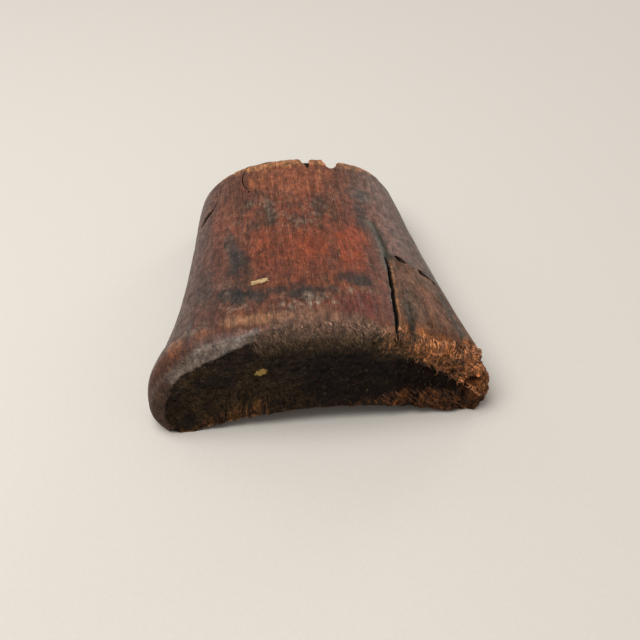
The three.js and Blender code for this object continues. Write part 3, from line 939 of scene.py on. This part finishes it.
def streak_coat(zone, coat):
    """The dark streak beside the long crack, with an orange stroke on each side of its foot."""
    x, s = zone.x, zone.s
    crumbled = ramp(noise(zone.p, (1.6, 3, 3), 318), -0.8, 0.1) * ramp(s, 0, 6)
    coat.add(DARK_GREEN, 0.9 * trail(zone, SECOND_STREAK, 2.9) * crumbled)
    strokes = spot(x, s, (48.4, 6), (1.9, 6)) + spot(x, s, (55.2, 6), (2.1, 6))
    coat.add(ORANGE, 0.75 * zone.back * strokes)
    coat.add(DARK_GREEN, 0.9 * zone.back * spot(x, s, (51.7, 10), (1.7, 11)))


def roughness(zone, deep, corner):
    """Satin on the patina and the bevel, matte on the ends, the fibres and inside the cracks."""
    rough = 0.42 + 0.5 * np.maximum(zone.face, zone.hollow)
    rough += 0.35 * (zone.torn + zone.fringe + zone.under) + 0.3 * zone.rear + 0.25 * zone.lobe_end
    rough += zone.bevel * (0.22 * ramp(44 - zone.z, 0, 12) - 0.14)
    rough += 0.4 * deep + 0.25 * ramp(32 - zone.z, 0, 20)
    if corner:
        rough += 0.12 * zone.back
    return np.clip(rough, 0.2, 0.95)


def paint(obj, corner, skin):
    """Writes the colour and the wear of a cut piece as attributes."""
    p = coordinates(obj)[0]
    clean = np.empty(len(p) * 3)
    obj.data.attributes["clean_normal"].data.foreach_get("vector", clean)
    clean = clean.reshape(-1, 3)
    length = np.linalg.norm(clean, axis=1)
    inside_cut = length < 0.5
    depth, skin_normals = under_skin(skin, p, inside_cut)
    clean = np.where(inside_cut[:, None], skin_normals, clean / np.maximum(length, 0.01)[:, None])
    zone = Zones(p, clean)
    coat = crown_coat(zone)
    if corner:
        corner_coat(zone, coat)
    crack_coat(zone, coat)
    paint_block(zone, coat)
    streak_coat(zone, coat)
    # Painted shade and dark grime inside the cut cracks and pits, by depth under the surface
    deep = ramp(depth, 0.05, 0.7)
    coat.add(SHADE_AND_DARK_MARKS, deep)
    write_colour(obj, "paint", coat.colour)
    write_float(obj, "torn", np.maximum(zone.torn, np.maximum(0.9 * zone.fringe, 0.6 * zone.lobe_end)))
    write_float(obj, "ends", np.maximum(np.maximum(zone.face, zone.hollow), zone.rear) * (1 - zone.torn))
    write_float(obj, "deep", deep)
    write_float(obj, "rear", zone.rear * (1 - deep))
    write_float(obj, "rough", roughness(zone, deep, corner))
    obj.data.attributes.remove(obj.data.attributes["clean_normal"])
    obj.data.polygons.foreach_set("use_smooth", [True] * len(obj.data.polygons))
    obj.data.set_sharp_from_angle(angle=math.radians(62))


def write_float(obj, name, values):
    attribute = obj.data.attributes.new(name, "FLOAT", "POINT")
    attribute.data.foreach_set("value", np.asarray(values, np.float32))


def write_colour(obj, name, colours):
    attribute = obj.data.attributes.new(name, "FLOAT_COLOR", "POINT")
    rgba = np.column_stack([colours, np.ones(len(colours))])
    attribute.data.foreach_set("color", rgba.astype(np.float32).ravel())


# ---------------------------------------------------------------------------------------------
# Materials
# ---------------------------------------------------------------------------------------------
class Finish:
    """Short calls for the nodes of one material. Cells are in millimetres on the object."""

    def __init__(self, name):
        self.material = bpy.data.materials.new(name)
        self.material.use_nodes = True
        self.tree = self.material.node_tree
        self.tree.nodes.clear()
        place = self.add("ShaderNodeTexCoord").outputs["Object"]
        self.place = self.vector("SCALE", place, scale=1 / MM)

    def add(self, kind, inputs=(), **settings):
        made = self.tree.nodes.new(kind)
        for key, value in settings.items():
            setattr(made, key, value)
        for key, value in dict(inputs).items():
            if isinstance(value, bpy.types.NodeSocket):
                self.tree.links.new(value, made.inputs[key])
            else:
                made.inputs[key].default_value = value
        return made

    def vector(self, operation, a, b=None, scale=None):
        inputs = {0: a}
        if b is not None:
            inputs[1] = b
        if scale is not None:
            inputs["Scale"] = scale
        made = self.add("ShaderNodeVectorMath", inputs, operation=operation)
        return made.outputs["Value" if operation == "LENGTH" else "Vector"]

    def calc(self, operation, a, b=0.0, clamp=False):
        return self.add("ShaderNodeMath", {0: a, 1: b}, operation=operation, use_clamp=clamp).outputs[0]

    def product(self, first, *others):
        """Several numbers multiplied together."""
        for value in others:
            first = self.calc("MULTIPLY", first, value)
        return first

    def attribute(self, name, output="Fac"):
        return self.add("ShaderNodeAttribute", attribute_name=name).outputs[output]

    def grain(self, cell, detail=2.0, roughness=0.5, seed=0.0, distortion=0.0, place=None):
        """Noise from 0 to 1 with cells of (x, y, z) millimetres."""
        size = (1 / cell[0], 1 / cell[1], 1 / cell[2])
        at = self.vector("MULTIPLY_ADD", place or self.place, size)
        at.node.inputs[2].default_value = (seed * 7.31, seed * 3.77, seed * 5.13)
        inputs = {"Vector": at, "Scale": 1.0, "Detail": detail, "Roughness": roughness}
        inputs["Distortion"] = distortion
        return self.add("ShaderNodeTexNoise", inputs).outputs["Fac"]

    def swirled(self, cell, reach, seed):
        """The place on the object, pushed about by up to the reach in slow swirls."""
        at = self.vector("MULTIPLY_ADD", self.place, (1 / cell,) * 3)
        at.node.inputs[2].default_value = (seed, seed * 1.7, seed * 2.9)
        made = self.add("ShaderNodeTexNoise", {"Vector": at, "Scale": 1.0, "Detail": 2.0})
        push = self.vector("SUBTRACT", made.outputs["Color"], (0.5, 0.5, 0.5))
        return self.vector("ADD", self.place, self.vector("SCALE", push, scale=2.0 * reach))

    def band(self, value, low, high, to_low=0.0, to_high=1.0):
        inputs = {"Value": value, "From Min": low, "From Max": high, "To Min": to_low, "To Max": to_high}
        return self.add("ShaderNodeMapRange", inputs, interpolation_type="SMOOTHSTEP").outputs["Result"]

    def mix(self, share, a, b):
        made = self.add("ShaderNodeMix", data_type="RGBA", blend_type="MIX")
        for index, value in ((0, share), (6, a), (7, b)):
            if isinstance(value, bpy.types.NodeSocket):
                self.tree.links.new(value, made.inputs[index])
            else:
                made.inputs[index].default_value = value if index == 0 else (*value, 1)
        return made.outputs[2]

    def shade(self, colour, value):
        """The colour made lighter or darker by a number around 1."""
        return self.vector("SCALE", colour, scale=value)

    def specks(self, cell, size, share, seed):
        """Round specks, where only a share of the cells has one."""
        at = self.vector("MULTIPLY_ADD", self.place, (1 / cell,) * 3)
        at.node.inputs[2].default_value = (seed, seed * 2.3, seed * 3.1)
        made = self.add("ShaderNodeTexVoronoi", {"Vector": at, "Scale": 1.0})
        inside = self.band(made.outputs["Distance"], size, size * 0.6)
        chosen = self.add("ShaderNodeSeparateColor", {0: made.outputs["Color"]}).outputs[0]
        return self.product(inside, self.band(chosen, 1 - share, 1 - share + 0.02))

    def patch(self, at, radius):
        """1 inside an ellipsoid at a place on the object, with a broken edge."""
        offset = self.vector("SUBTRACT", self.place, at)
        scaled = self.vector("MULTIPLY", offset, tuple(1 / r for r in radius))
        distance = self.vector("LENGTH", scaled)
        wobble = self.product(self.grain((1.8, 1.8, 1.8), 3, 0.6, at[0]), 2.4)
        return self.band(self.calc("ADD", distance, wobble), 2.35, 1.85)

    def bump(self, height, strength, distance, normal=None):
        inputs = {"Height": height, "Strength": strength, "Distance": distance * MM}
        if normal is not None:
            inputs["Normal"] = normal
        return self.add("ShaderNodeBump", inputs).outputs["Normal"]

    def close(self, colour, roughness, normal, specular=0.5):
        inputs = {"Base Color": colour, "Roughness": roughness, "Normal": normal}
        inputs["Specular IOR Level"] = specular
        shader = self.add("ShaderNodeBsdfPrincipled", inputs)
        self.add("ShaderNodeOutputMaterial", {"Surface": shader.outputs[0]})
        return self.material


PITH = (9, 0, -34)
RING_GAP = 3.1
FINE_RING_GAP = 0.83
PALE_GRIT = (0.125, 0.095, 0.055)
TAN_GRAIN = (0.25, 0.155, 0.085)
DUST = (0.21, 0.165, 0.13)
WAX = (0.34, 0.29, 0.22)
CRUMB = (0.30, 0.20, 0.12)
YELLOW_FLECK = (0.36, 0.235, 0.065)
# The two halves of the yellow fleck: place and radii
FLECK_PARTS = [((-36, -95, 40.4), (1.9, 4, 1.9)), ((-33.4, -95, 43.2), (1.9, 4, 2.5))]


def rear_wood(f, base, grit, mottle):
    """Growth rings around a pith below the block, with fine rays, over darkened end grain."""
    offset = f.vector("SUBTRACT", f.swirled(38, 5, 15), PITH)
    flat = f.vector("MULTIPLY", offset, (1, 0, 1))
    radius = f.vector("LENGTH", flat)
    wave = f.calc("SINE", f.product(radius, 2 * math.pi / RING_GAP))
    fine_wave = f.calc("SINE", f.product(radius, 2 * math.pi / FINE_RING_GAP))
    rings = f.product(f.band(wave, -0.9, 1, 0.62, 1.2), f.band(fine_wave, -1, 1, 0.85, 1.12))
    heading = f.vector("NORMALIZE", flat)
    rays = f.band(f.grain((0.02, 1, 0.02), 3, 0.7, 16, place=heading), 0.55, 0.7, 1.0, 0.72)
    dirt = f.product(f.band(grit, 0.35, 0.66, 0.55, 1.35), f.band(mottle, 0.3, 0.7, 0.7, 1.3))
    return f.shade(base, f.product(rings, rays, dirt))


def old_wood(name, dust_share):
    """Old handled hardwood: its attributes say what is patina, torn fibre, end grain or a crack."""
    f = Finish(name)
    torn, ends, deep = f.attribute("torn"), f.attribute("ends"), f.attribute("deep")
    base = f.attribute("paint", "Color")
    fine = f.grain((0.55, 22, 0.55), 3, 0.6, 1)
    middle = f.grain((2.4, 55, 2.4), 3, 0.6, 2, 0.4)
    mottle = f.grain((3.6, 6, 3.6), 6, 0.68, 3)
    grit = f.grain((1.4, 1.4, 1.4), 5, 0.8, 4)
    granules = f.grain((1.1, 1.7, 1.1), 3, 0.7, 13)
    fibre = f.grain((0.9, 7, 7), 4, 0.65, 5, 0.8, f.swirled(11, 9, 5))
    pores = f.band(f.grain((0.32, 4, 0.32), 2, 0.6, 6), 0.60, 0.68)
    along_grain = f.calc("SUBTRACT", 1.0, f.calc("MAXIMUM", torn, ends))

    # The patina, streaked and clouded along the grain
    streaks = f.product(f.band(fine, 0.3, 0.7, 0.66, 1.38), f.band(middle, 0.3, 0.7, 0.7, 1.32))
    clouds = f.product(f.band(mottle, 0.32, 0.7, 0.62, 1.42), f.band(granules, 0.3, 0.7, 0.72, 1.3))
    patina = f.shade(base, f.product(streaks, clouds))
    patina = f.mix(f.product(pores, along_grain, 0.6), patina, SHADE_AND_DARK_MARKS)

    # The ends: pitted and sooty in front, ringed at the rear
    sooty = f.product(f.band(grit, 0.38, 0.64, 0.05, 2.5), f.band(mottle, 0.32, 0.7, 0.5, 1.6))
    pale = f.band(f.grain((1.9, 1.9, 1.9), 5, 0.8, 7), 0.57, 0.65)
    pale = f.product(pale, f.band(mottle, 0.42, 0.6, 0.1, 0.8))
    end_wood = f.mix(pale, f.shade(base, sooty), PALE_GRIT)
    end_wood = f.mix(f.attribute("rear"), end_wood, rear_wood(f, base, grit, mottle))
    colour = f.mix(ends, patina, end_wood)

    # Tan grains, torn fibre, dust, wax, dark specks and crumbs over them
    grains = f.band(f.grain((0.7, 0.9, 0.7), 3, 0.75, 14), 0.58, 0.68)
    grains = f.product(grains, f.band(mottle, 0.42, 0.62, 0.05, 0.55), along_grain)
    colour = f.mix(grains, colour, TAN_GRAIN)
    strands = f.product(f.band(fibre, 0.36, 0.64, 0.12, 2.0), f.band(mottle, 0.32, 0.7, 0.45, 1.5))
    colour = f.mix(torn, colour, f.shade(base, strands))
    dust = f.band(f.grain((1.3, 7, 1.3), 5, 0.78, 8), 0.57, 0.74)
    colour = f.mix(f.product(dust, dust_share, along_grain), colour, DUST)
    wax = f.product(f.specks(6, 0.09, 0.25, 9), f.band(ends, 0, 1, 0.5, 0.15))
    colour = f.mix(wax, colour, WAX)
    colour = f.mix(f.product(f.specks(4.2, 0.14, 0.3, 10), 0.8), colour, SHADE_AND_DARK_MARKS)
    places = f.band(f.grain((14, 14, 14), 3, 0.6, 12), 0.45, 0.6, 0.0, 0.6)
    crumbs = f.product(f.specks(2.6, 0.24, 0.3, 11), places, f.band(ends, 0, 1, 1.0, 0.3))
    colour = f.mix(crumbs, colour, CRUMB)
    # Painted shade and grime inside the cut cracks and pits
    colour = f.mix(deep, colour, SHADE_AND_DARK_MARKS)

    # Roughness and relief
    rough = f.calc("ADD", f.attribute("rough"), f.band(mottle, 0.3, 0.7, 0.1, -0.1))
    rough = f.calc("ADD", rough, f.product(pores, 0.25), clamp=True)
    normal = f.bump(mottle, 0.5, 0.5)
    normal = f.bump(f.calc("SUBTRACT", fine, f.product(pores, 0.5)), 0.5, 0.18, normal)
    normal = f.bump(f.product(grit, ends), 0.9, 0.8, normal)
    normal = f.bump(f.product(fibre, torn), 1.0, 1.1, normal)
    return f, colour, rough, normal


def block_wood():
    """The block's wood, with the yellow fleck on its front end."""
    f, colour, rough, normal = old_wood("patinated_wood", 0.35)
    for place, radius in FLECK_PARTS:
        colour = f.mix(f.patch(place, radius), colour, YELLOW_FLECK)
    return f.close(colour, rough, normal, 0.24)


def corner_wood():
    """The corner piece's wood, with less gloss and dust."""
    f, colour, rough, normal = old_wood("corner_wood", 0.22)
    return f.close(colour, rough, normal, 0.15)


def bare_wood():
    f = Finish("bare_wood")
    streak = f.grain((5, 0.7, 0.7), 3, 0.6, 30)
    stain = f.grain((2.4, 2.4, 2.4), 4, 0.7, 31)
    colour = f.mix(f.band(streak, 0.35, 0.65), (0.24, 0.13, 0.055), (0.54, 0.39, 0.20))
    colour = f.mix(f.band(stain, 0.5, 0.68, 0.0, 0.85), colour, (0.11, 0.06, 0.03))
    normal = f.bump(streak, 0.7, 0.2)
    return f.close(colour, f.band(stain, 0.3, 0.7, 0.5, 0.7), normal, 0.4)


def fibre_wood():
    f = Finish("torn_fibre")
    streak = f.grain((0.5, 4, 4), 3, 0.6, 40)
    patchy = f.grain((3, 3, 3), 4, 0.7, 41)
    tone = f.product(f.band(streak, 0.3, 0.7, 0.5, 1.6), f.band(patchy, 0.3, 0.7, 0.5, 1.5))
    colour = f.shade(f.attribute("paint", "Color"), tone)
    normal = f.bump(streak, 0.6, 0.15)
    return f.close(colour, f.band(patchy, 0.3, 0.7, 0.6, 0.8), normal, 0.3)


# ---------------------------------------------------------------------------------------------
# Loose fibres and the sliver
# ---------------------------------------------------------------------------------------------
def skin_point(u, t):
    """A point on the clean form: u from right to left over the arch, t back from the lip or down the face."""
    arch = arch_points(max(t, 0.0))
    at = min(max(u, 0.0), 1.0) * ARCH
    i = min(int(at), ARCH - 1)
    x, z = arch[i] * (1 - at + i) + arch[i + 1] * (at - i)
    y = max(t, 0.0) - LENGTH / 2
    return np.array([x, y, z + min(t, 0.0)])


def outward(point, t):
    """The way out of the wood near a point of the clean form, turning from up to forward over the lip."""
    radial = np.array([0.8 * point[0], 0, max(point[2] - 4, 4)])
    radial /= np.linalg.norm(radial)
    forward = float(ramp(np.array(4 - t), 0, 8))
    way = radial * (1 - forward) + np.array([0, -1.0, 0]) * forward
    return way / np.linalg.norm(way)


class Strands:
    """Many closed, tapered, four-sided strands of wood fibre in one mesh."""

    def __init__(self, wood):
        self.tree = BVHTree.FromObject(wood, bpy.context.evaluated_depsgraph_get())
        self.verts, self.faces, self.colours = [], [], []

    def landed(self, point, way, lift):
        """The point brought onto the wood's real surface, then lifted off it."""
        start = Vector((point + way * 7) * MM)
        hit = self.tree.ray_cast(start, Vector(-way), 14 * MM)[0]
        if hit is None:
            return None
        return np.array(hit) / MM + way * lift

    def add(self, line, ways, widths, flat, colours):
        """One strand: a four-sided tube along the line, flat against the wood."""
        first = len(self.verts)
        for k, (point, way, width) in enumerate(zip(line, ways, widths)):
            ahead = line[min(k + 1, len(line) - 1)] - line[max(k - 1, 0)]
            side = np.cross(ahead, way)
            side /= np.linalg.norm(side) + 1e-9
            for across, rise in ((1, 0), (0, 1), (-1, 0), (0, -1)):
                self.verts.append(point + side * across * width + way * rise * width * flat)
                self.colours.append(colours[k])
        for k in range(len(line) - 1):
            for j in range(4):
                n = (j + 1) % 4
                a, b = first + 4 * k, first + 4 * (k + 1)
                self.faces.append((a + j, a + n, b + n, b + j))
        self.faces.append((first + 3, first + 2, first + 1, first))
        last = first + 4 * (len(line) - 1)
        self.faces.append((last, last + 1, last + 2, last + 3))

    def finish(self, name):
        """All the strands as one object."""
        obj = make_object(name, self.verts, self.faces)
        with bmesh_of(obj) as work:
            bmesh.ops.recalc_face_normals(work, faces=work.faces)
        write_colour(obj, "paint", np.array(self.colours))
        return obj


TAPER = np.array([0.45, 1, 1.05, 0.95, 0.75, 0.45, 0.12])
STEPS = np.linspace(0, 1, len(TAPER))
RISE = np.sin(math.pi * np.minimum(1, STEPS * 1.2 + 0.05))
SHORT_TAPER = np.array([0.6, 1, 0.8, 0.15])
SHORT_STEPS = np.linspace(0, 1, len(SHORT_TAPER))
FLATNESS = 0.7
ARCH_SPAN = 270.0  # length of the arch at the lip
STRAY = 6  # a strand that lands further off the clean form than this is left out


def grown(strands, u, t, length, turns, lifts):
    """A strand over the front edge as (line, ways out), or None where it finds no wood."""
    line, ways = [], []
    for share, turn, lift in zip(np.linspace(0, 1, len(turns)), turns, lifts):
        run = length * share
        point = skin_point(u - math.sin(turn) * run / ARCH_SPAN, t - math.cos(turn) * run)
        way = outward(point, t - run)
        placed = strands.landed(point, way, lift)
        if placed is None or np.linalg.norm(placed - point) > STRAY:
            return None
        line.append(placed)
        ways.append(way)
    return line, ways


def bristles(strands, rng):
    """Short stiff hairs of the middle of the front edge, and down over the top of the end grain."""
    for _ in range(3000):
        u = rng.uniform(0.26, 0.68)
        lip = skin_point(u, 0.0)
        x = lip[0]
        if x < -35 or x > 52:
            continue
        torn_drop = max(lip[2] - along(TORN_LOW, x), 0.0)
        lip_shade_drop = max(lip[2] - along(LIP_SHADE_LOW, x), 0.0) + 1
        t = rng.uniform(-lip_shade_drop, along(TORN_REACH, x) * 0.9)
        length = rng.uniform(0.9, 2.3)
        turn = rng.normal(0, 0.45)
        lift = rng.uniform(0.0, 0.5)
        width = rng.uniform(0.11, 0.2)
        tone = 0.35 + 1.5 * rng.uniform() ** 1.6
        base = shaded(TORN_LOW_WOOD, TORN_TOP, np.array([t / 8]))[0]
        # Hairs in the shade under the torn lip take its painted shade colour
        if t < -torn_drop:
            base = np.array(LIP_SHADE) * 1.5
        strand = grown(strands, u, t, length, [turn] * len(SHORT_TAPER), lift * SHORT_STEPS)
        if strand is not None:
            colours = [base * tone * (0.6 + 0.6 * k / len(SHORT_TAPER)) for k in range(len(SHORT_TAPER))]
            strands.add(*strand, SHORT_TAPER * width, FLATNESS, colours)


def torn_fibres(wood):
    """Strands torn up along the front edge: short hairs in the middle, coarse swirls on the right lobe."""
    rng = np.random.default_rng(41)
    strands = Strands(wood)
    for _ in range(1900):
        u = rng.uniform(0.03, 0.62)
        lip = skin_point(u, 0.0)
        x = lip[0]
        right = float(ramp(np.array(x), 34, 64))
        if x < 34 or rng.uniform() > 0.25 + 0.75 * right:
            continue
        drop = max(lip[2] - along(TORN_LOW, x), 0.0)
        top = along(TORN_REACH, x) * (0.3 + 0.7 * right)
        t = rng.uniform(-drop - 1.5, top)
        length = rng.uniform(1.6, 3.6) + rng.uniform(0, 5.5) * right
        at = np.array([[x, t, 0.0]])
        angle = (0.3 + 1.1 * right) * noise(at, 9, 400)[0] + rng.normal(0, 0.2) - 0.35 * right
        lift = rng.uniform(-0.25, 0.15) + 0.7 * rng.uniform() * right
        width = rng.uniform(0.14, 0.28) + rng.uniform(0, 0.34) * right
        tone = (0.3 + 1.3 * rng.uniform() ** (1 + 0.6 * right)) * (1 + 0.6 * noise(at, 7, 402)[0] * right)
        base = shaded(TORN_LOW_WOOD, TORN_TOP, np.array([t / 10]))[0]
        share = right * rng.uniform(0.25, 1.1) * (1 + 0.6 * noise(at, 10, 403)[0])
        base = base + (np.array(TORN_RIGHT) - base) * min(share, 1.1)
        bend = rng.normal(0, 0.15 + 0.5 * right)
        strand = grown(strands, u, t, length, angle + bend * (STEPS - 0.4), lift * RISE)
        if strand is not None:
            colours = [base * tone * (0.55 + 0.75 * k / len(TAPER)) for k in range(len(TAPER))]
            strands.add(*strand, TAPER * width, FLATNESS, colours)
    bristles(strands, rng)
    return strands.finish("torn_fibres")


def frayed_foot(wood):
    """Strands hanging over the foot of the front face, upright on the left and slanted on the right."""
    rng = np.random.default_rng(43)
    strands = Strands(wood)
    forward = np.array([0, -1.0, 0])
    for _ in range(850):
        x = rng.uniform(-72, 92)
        top = along(FRINGE_TOP, x)
        if top < 6:
            continue
        on_right = x > 0
        start = rng.uniform(4, top * 1.05)
        length = rng.uniform(2.5, 6) * (1.4 if on_right else 0.9)
        slant = (0.8 if on_right else -0.15) + rng.normal(0, 0.14)
        lift = rng.uniform(-0.2, 0.35)
        width = rng.uniform(0.16, 0.3) * (1.4 if on_right else 1)
        tone = 0.25 + 2.6 * rng.uniform() ** 2
        line = []
        for share, rise in zip(STEPS, RISE):
            down = length * share
            point = np.array([x + math.sin(slant) * down, -LENGTH / 2, start - math.cos(slant) * down])
            placed = strands.landed(point, forward, lift * rise)
            if placed is None or placed[1] > 8 - LENGTH / 2:
                break
            line.append(placed)
        if len(line) < len(TAPER) or line[-1][2] < 0.3:
            continue
        colours = [np.array(FRAYED) * tone * (0.5 + 0.8 * k / len(TAPER)) for k in range(len(TAPER))]
        strands.add(line, [forward] * len(line), TAPER * width, FLATNESS, colours)
    return strands.finish("frayed_foot")


# Outline of the pale sliver in plan, from its middle, and its layers as (share of the outline, height)
SLIVER_OUTLINE = [
    (-5.6, -0.8), (-4.0, -1.9), (-1.4, -1.7), (0.7, -2.2), (3.0, -1.8), (5.4, -2.0), (4.9, -0.2),
    (5.6, 1.3), (3.0, 1.7), (0.5, 2.2), (-2.1, 1.8), (-4.6, 2.0), (-4.9, 0.5),
]
SLIVER_LAYERS = [(0.92, -0.9), (1.0, -0.3), (1.0, 0.35), (0.93, 0.6), (0.6, 0.66), (0.25, 0.58)]
SLIVER_TURN = 11  # degrees


def sliver(wood):
    """The pale sliver: a thin ragged slab lying on the slope of the crown."""
    low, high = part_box("pale_sliver")
    centre = (low + high) / 2 / MM
    tree = BVHTree.FromObject(wood, bpy.context.evaluated_depsgraph_get())
    turn = math.radians(SLIVER_TURN)
    verts = []
    for scale, height in SLIVER_LAYERS:
        for along_x, along_y in SLIVER_OUTLINE:
            x = centre.x + scale * (along_x * math.cos(turn) - along_y * math.sin(turn))
            y = centre.y + scale * (along_x * math.sin(turn) + along_y * math.cos(turn))
            hit = tree.ray_cast(Vector((x, y, CROWN + 20)) * MM, Vector((0, 0, -1)))[0]
            verts.append((x, y, hit.z / MM + height))
    obj = make_object("pale_sliver_wood", verts, tube_faces(len(SLIVER_LAYERS), len(SLIVER_OUTLINE)))
    weld(obj, 0.001)
    return obj


# ---------------------------------------------------------------------------------------------
# Stage
# ---------------------------------------------------------------------------------------------
def make_floor():
    bpy.ops.mesh.primitive_plane_add(size=8)
    floor = bpy.context.object
    floor.name = "floor"
    f = Finish("pale_floor")
    tone = f.grain((2, 2, 2), 3, 0.6, 60)
    colour = f.mix(f.band(tone, 0.3, 0.7), (0.60, 0.575, 0.54), (0.615, 0.59, 0.555))
    floor.data.materials.append(f.close(colour, 0.85, f.bump(tone, 0.1, 0.05), 0.2))


def make_light(name, place, size, power, colour):
    light = bpy.data.lights.new(name, "AREA")
    light.shape = "DISK"
    light.size = size
    light.energy = power
    light.color = colour
    obj = bpy.data.objects.new(name, light)
    obj.location = place
    obj.rotation_euler = (-Vector(place)).to_track_quat("-Z", "Y").to_euler()
    bpy.context.scene.collection.objects.link(obj)


def make_world():
    world = bpy.data.worlds.new("soft_room")
    world.use_nodes = True
    world.node_tree.nodes["Background"].inputs["Color"].default_value = (1.0, 0.965, 0.905, 1)
    world.node_tree.nodes["Background"].inputs["Strength"].default_value = 0.42
    bpy.context.scene.world = world


CAMERA_TARGET = (7.46, -8.81, 0)
CAMERA_DISTANCE = 639.1
CAMERA_AZIMUTH = -6
CAMERA_ELEVATION = 42
CAMERA_LENS = 55
CAMERA_SENSOR = 36


def make_camera():
    """Looks at the block from above its flared end, a little from the left."""
    azimuth, elevation = math.radians(CAMERA_AZIMUTH), math.radians(CAMERA_ELEVATION)
    flat = math.cos(elevation)
    back = Vector((math.sin(azimuth) * flat, -math.cos(azimuth) * flat, math.sin(elevation)))
    data = bpy.data.cameras.new("camera")
    data.lens = CAMERA_LENS
    data.sensor_width = CAMERA_SENSOR
    camera = bpy.data.objects.new("camera", data)
    camera.location = (Vector(CAMERA_TARGET) + back * CAMERA_DISTANCE) * MM
    camera.rotation_euler = (-back).to_track_quat("-Z", "Y").to_euler()
    bpy.context.scene.collection.objects.link(camera)
    bpy.context.scene.camera = camera


def finish_piece(obj, material, node=None):
    """Gives a piece its material, its body, and the CAD node that it replaces."""
    obj.data.materials.clear()
    obj.data.materials.append(material)
    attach(obj, "root")
    if node:
        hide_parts(node)


block = block_grid()
carve(block)
skin = BVHTree.FromObject(block, bpy.context.evaluated_depsgraph_get())
open_cracks(block)
edge_fibres = torn_fibres(block)
foot_fibres = frayed_foot(block)
corner = split_corner(block)
drop_splinters(block)
drop_splinters(corner)
paint(block, corner=False, skin=skin)
paint(corner, corner=True, skin=skin)
finish_piece(block, block_wood(), "carved_block")
finish_piece(corner, corner_wood(), "corner_piece")
finish_piece(sliver(block), bare_wood(), "pale_sliver")
fibre = fibre_wood()
finish_piece(edge_fibres, fibre)
finish_piece(foot_fibres, fibre)

bpy.context.scene.view_settings.view_transform = "Standard"
make_floor()
make_world()
make_light("overhead", (-0.45, -0.15, 1.3), 1.2, 19, (1.0, 0.97, 0.93))
make_light("left_rim", (-1.1, 0.95, 0.7), 0.8, 2.5, (0.96, 0.97, 1.0))
make_light("right_rim", (1.0, 1.1, 0.45), 0.6, 4, (1.0, 0.97, 0.93))
make_camera()
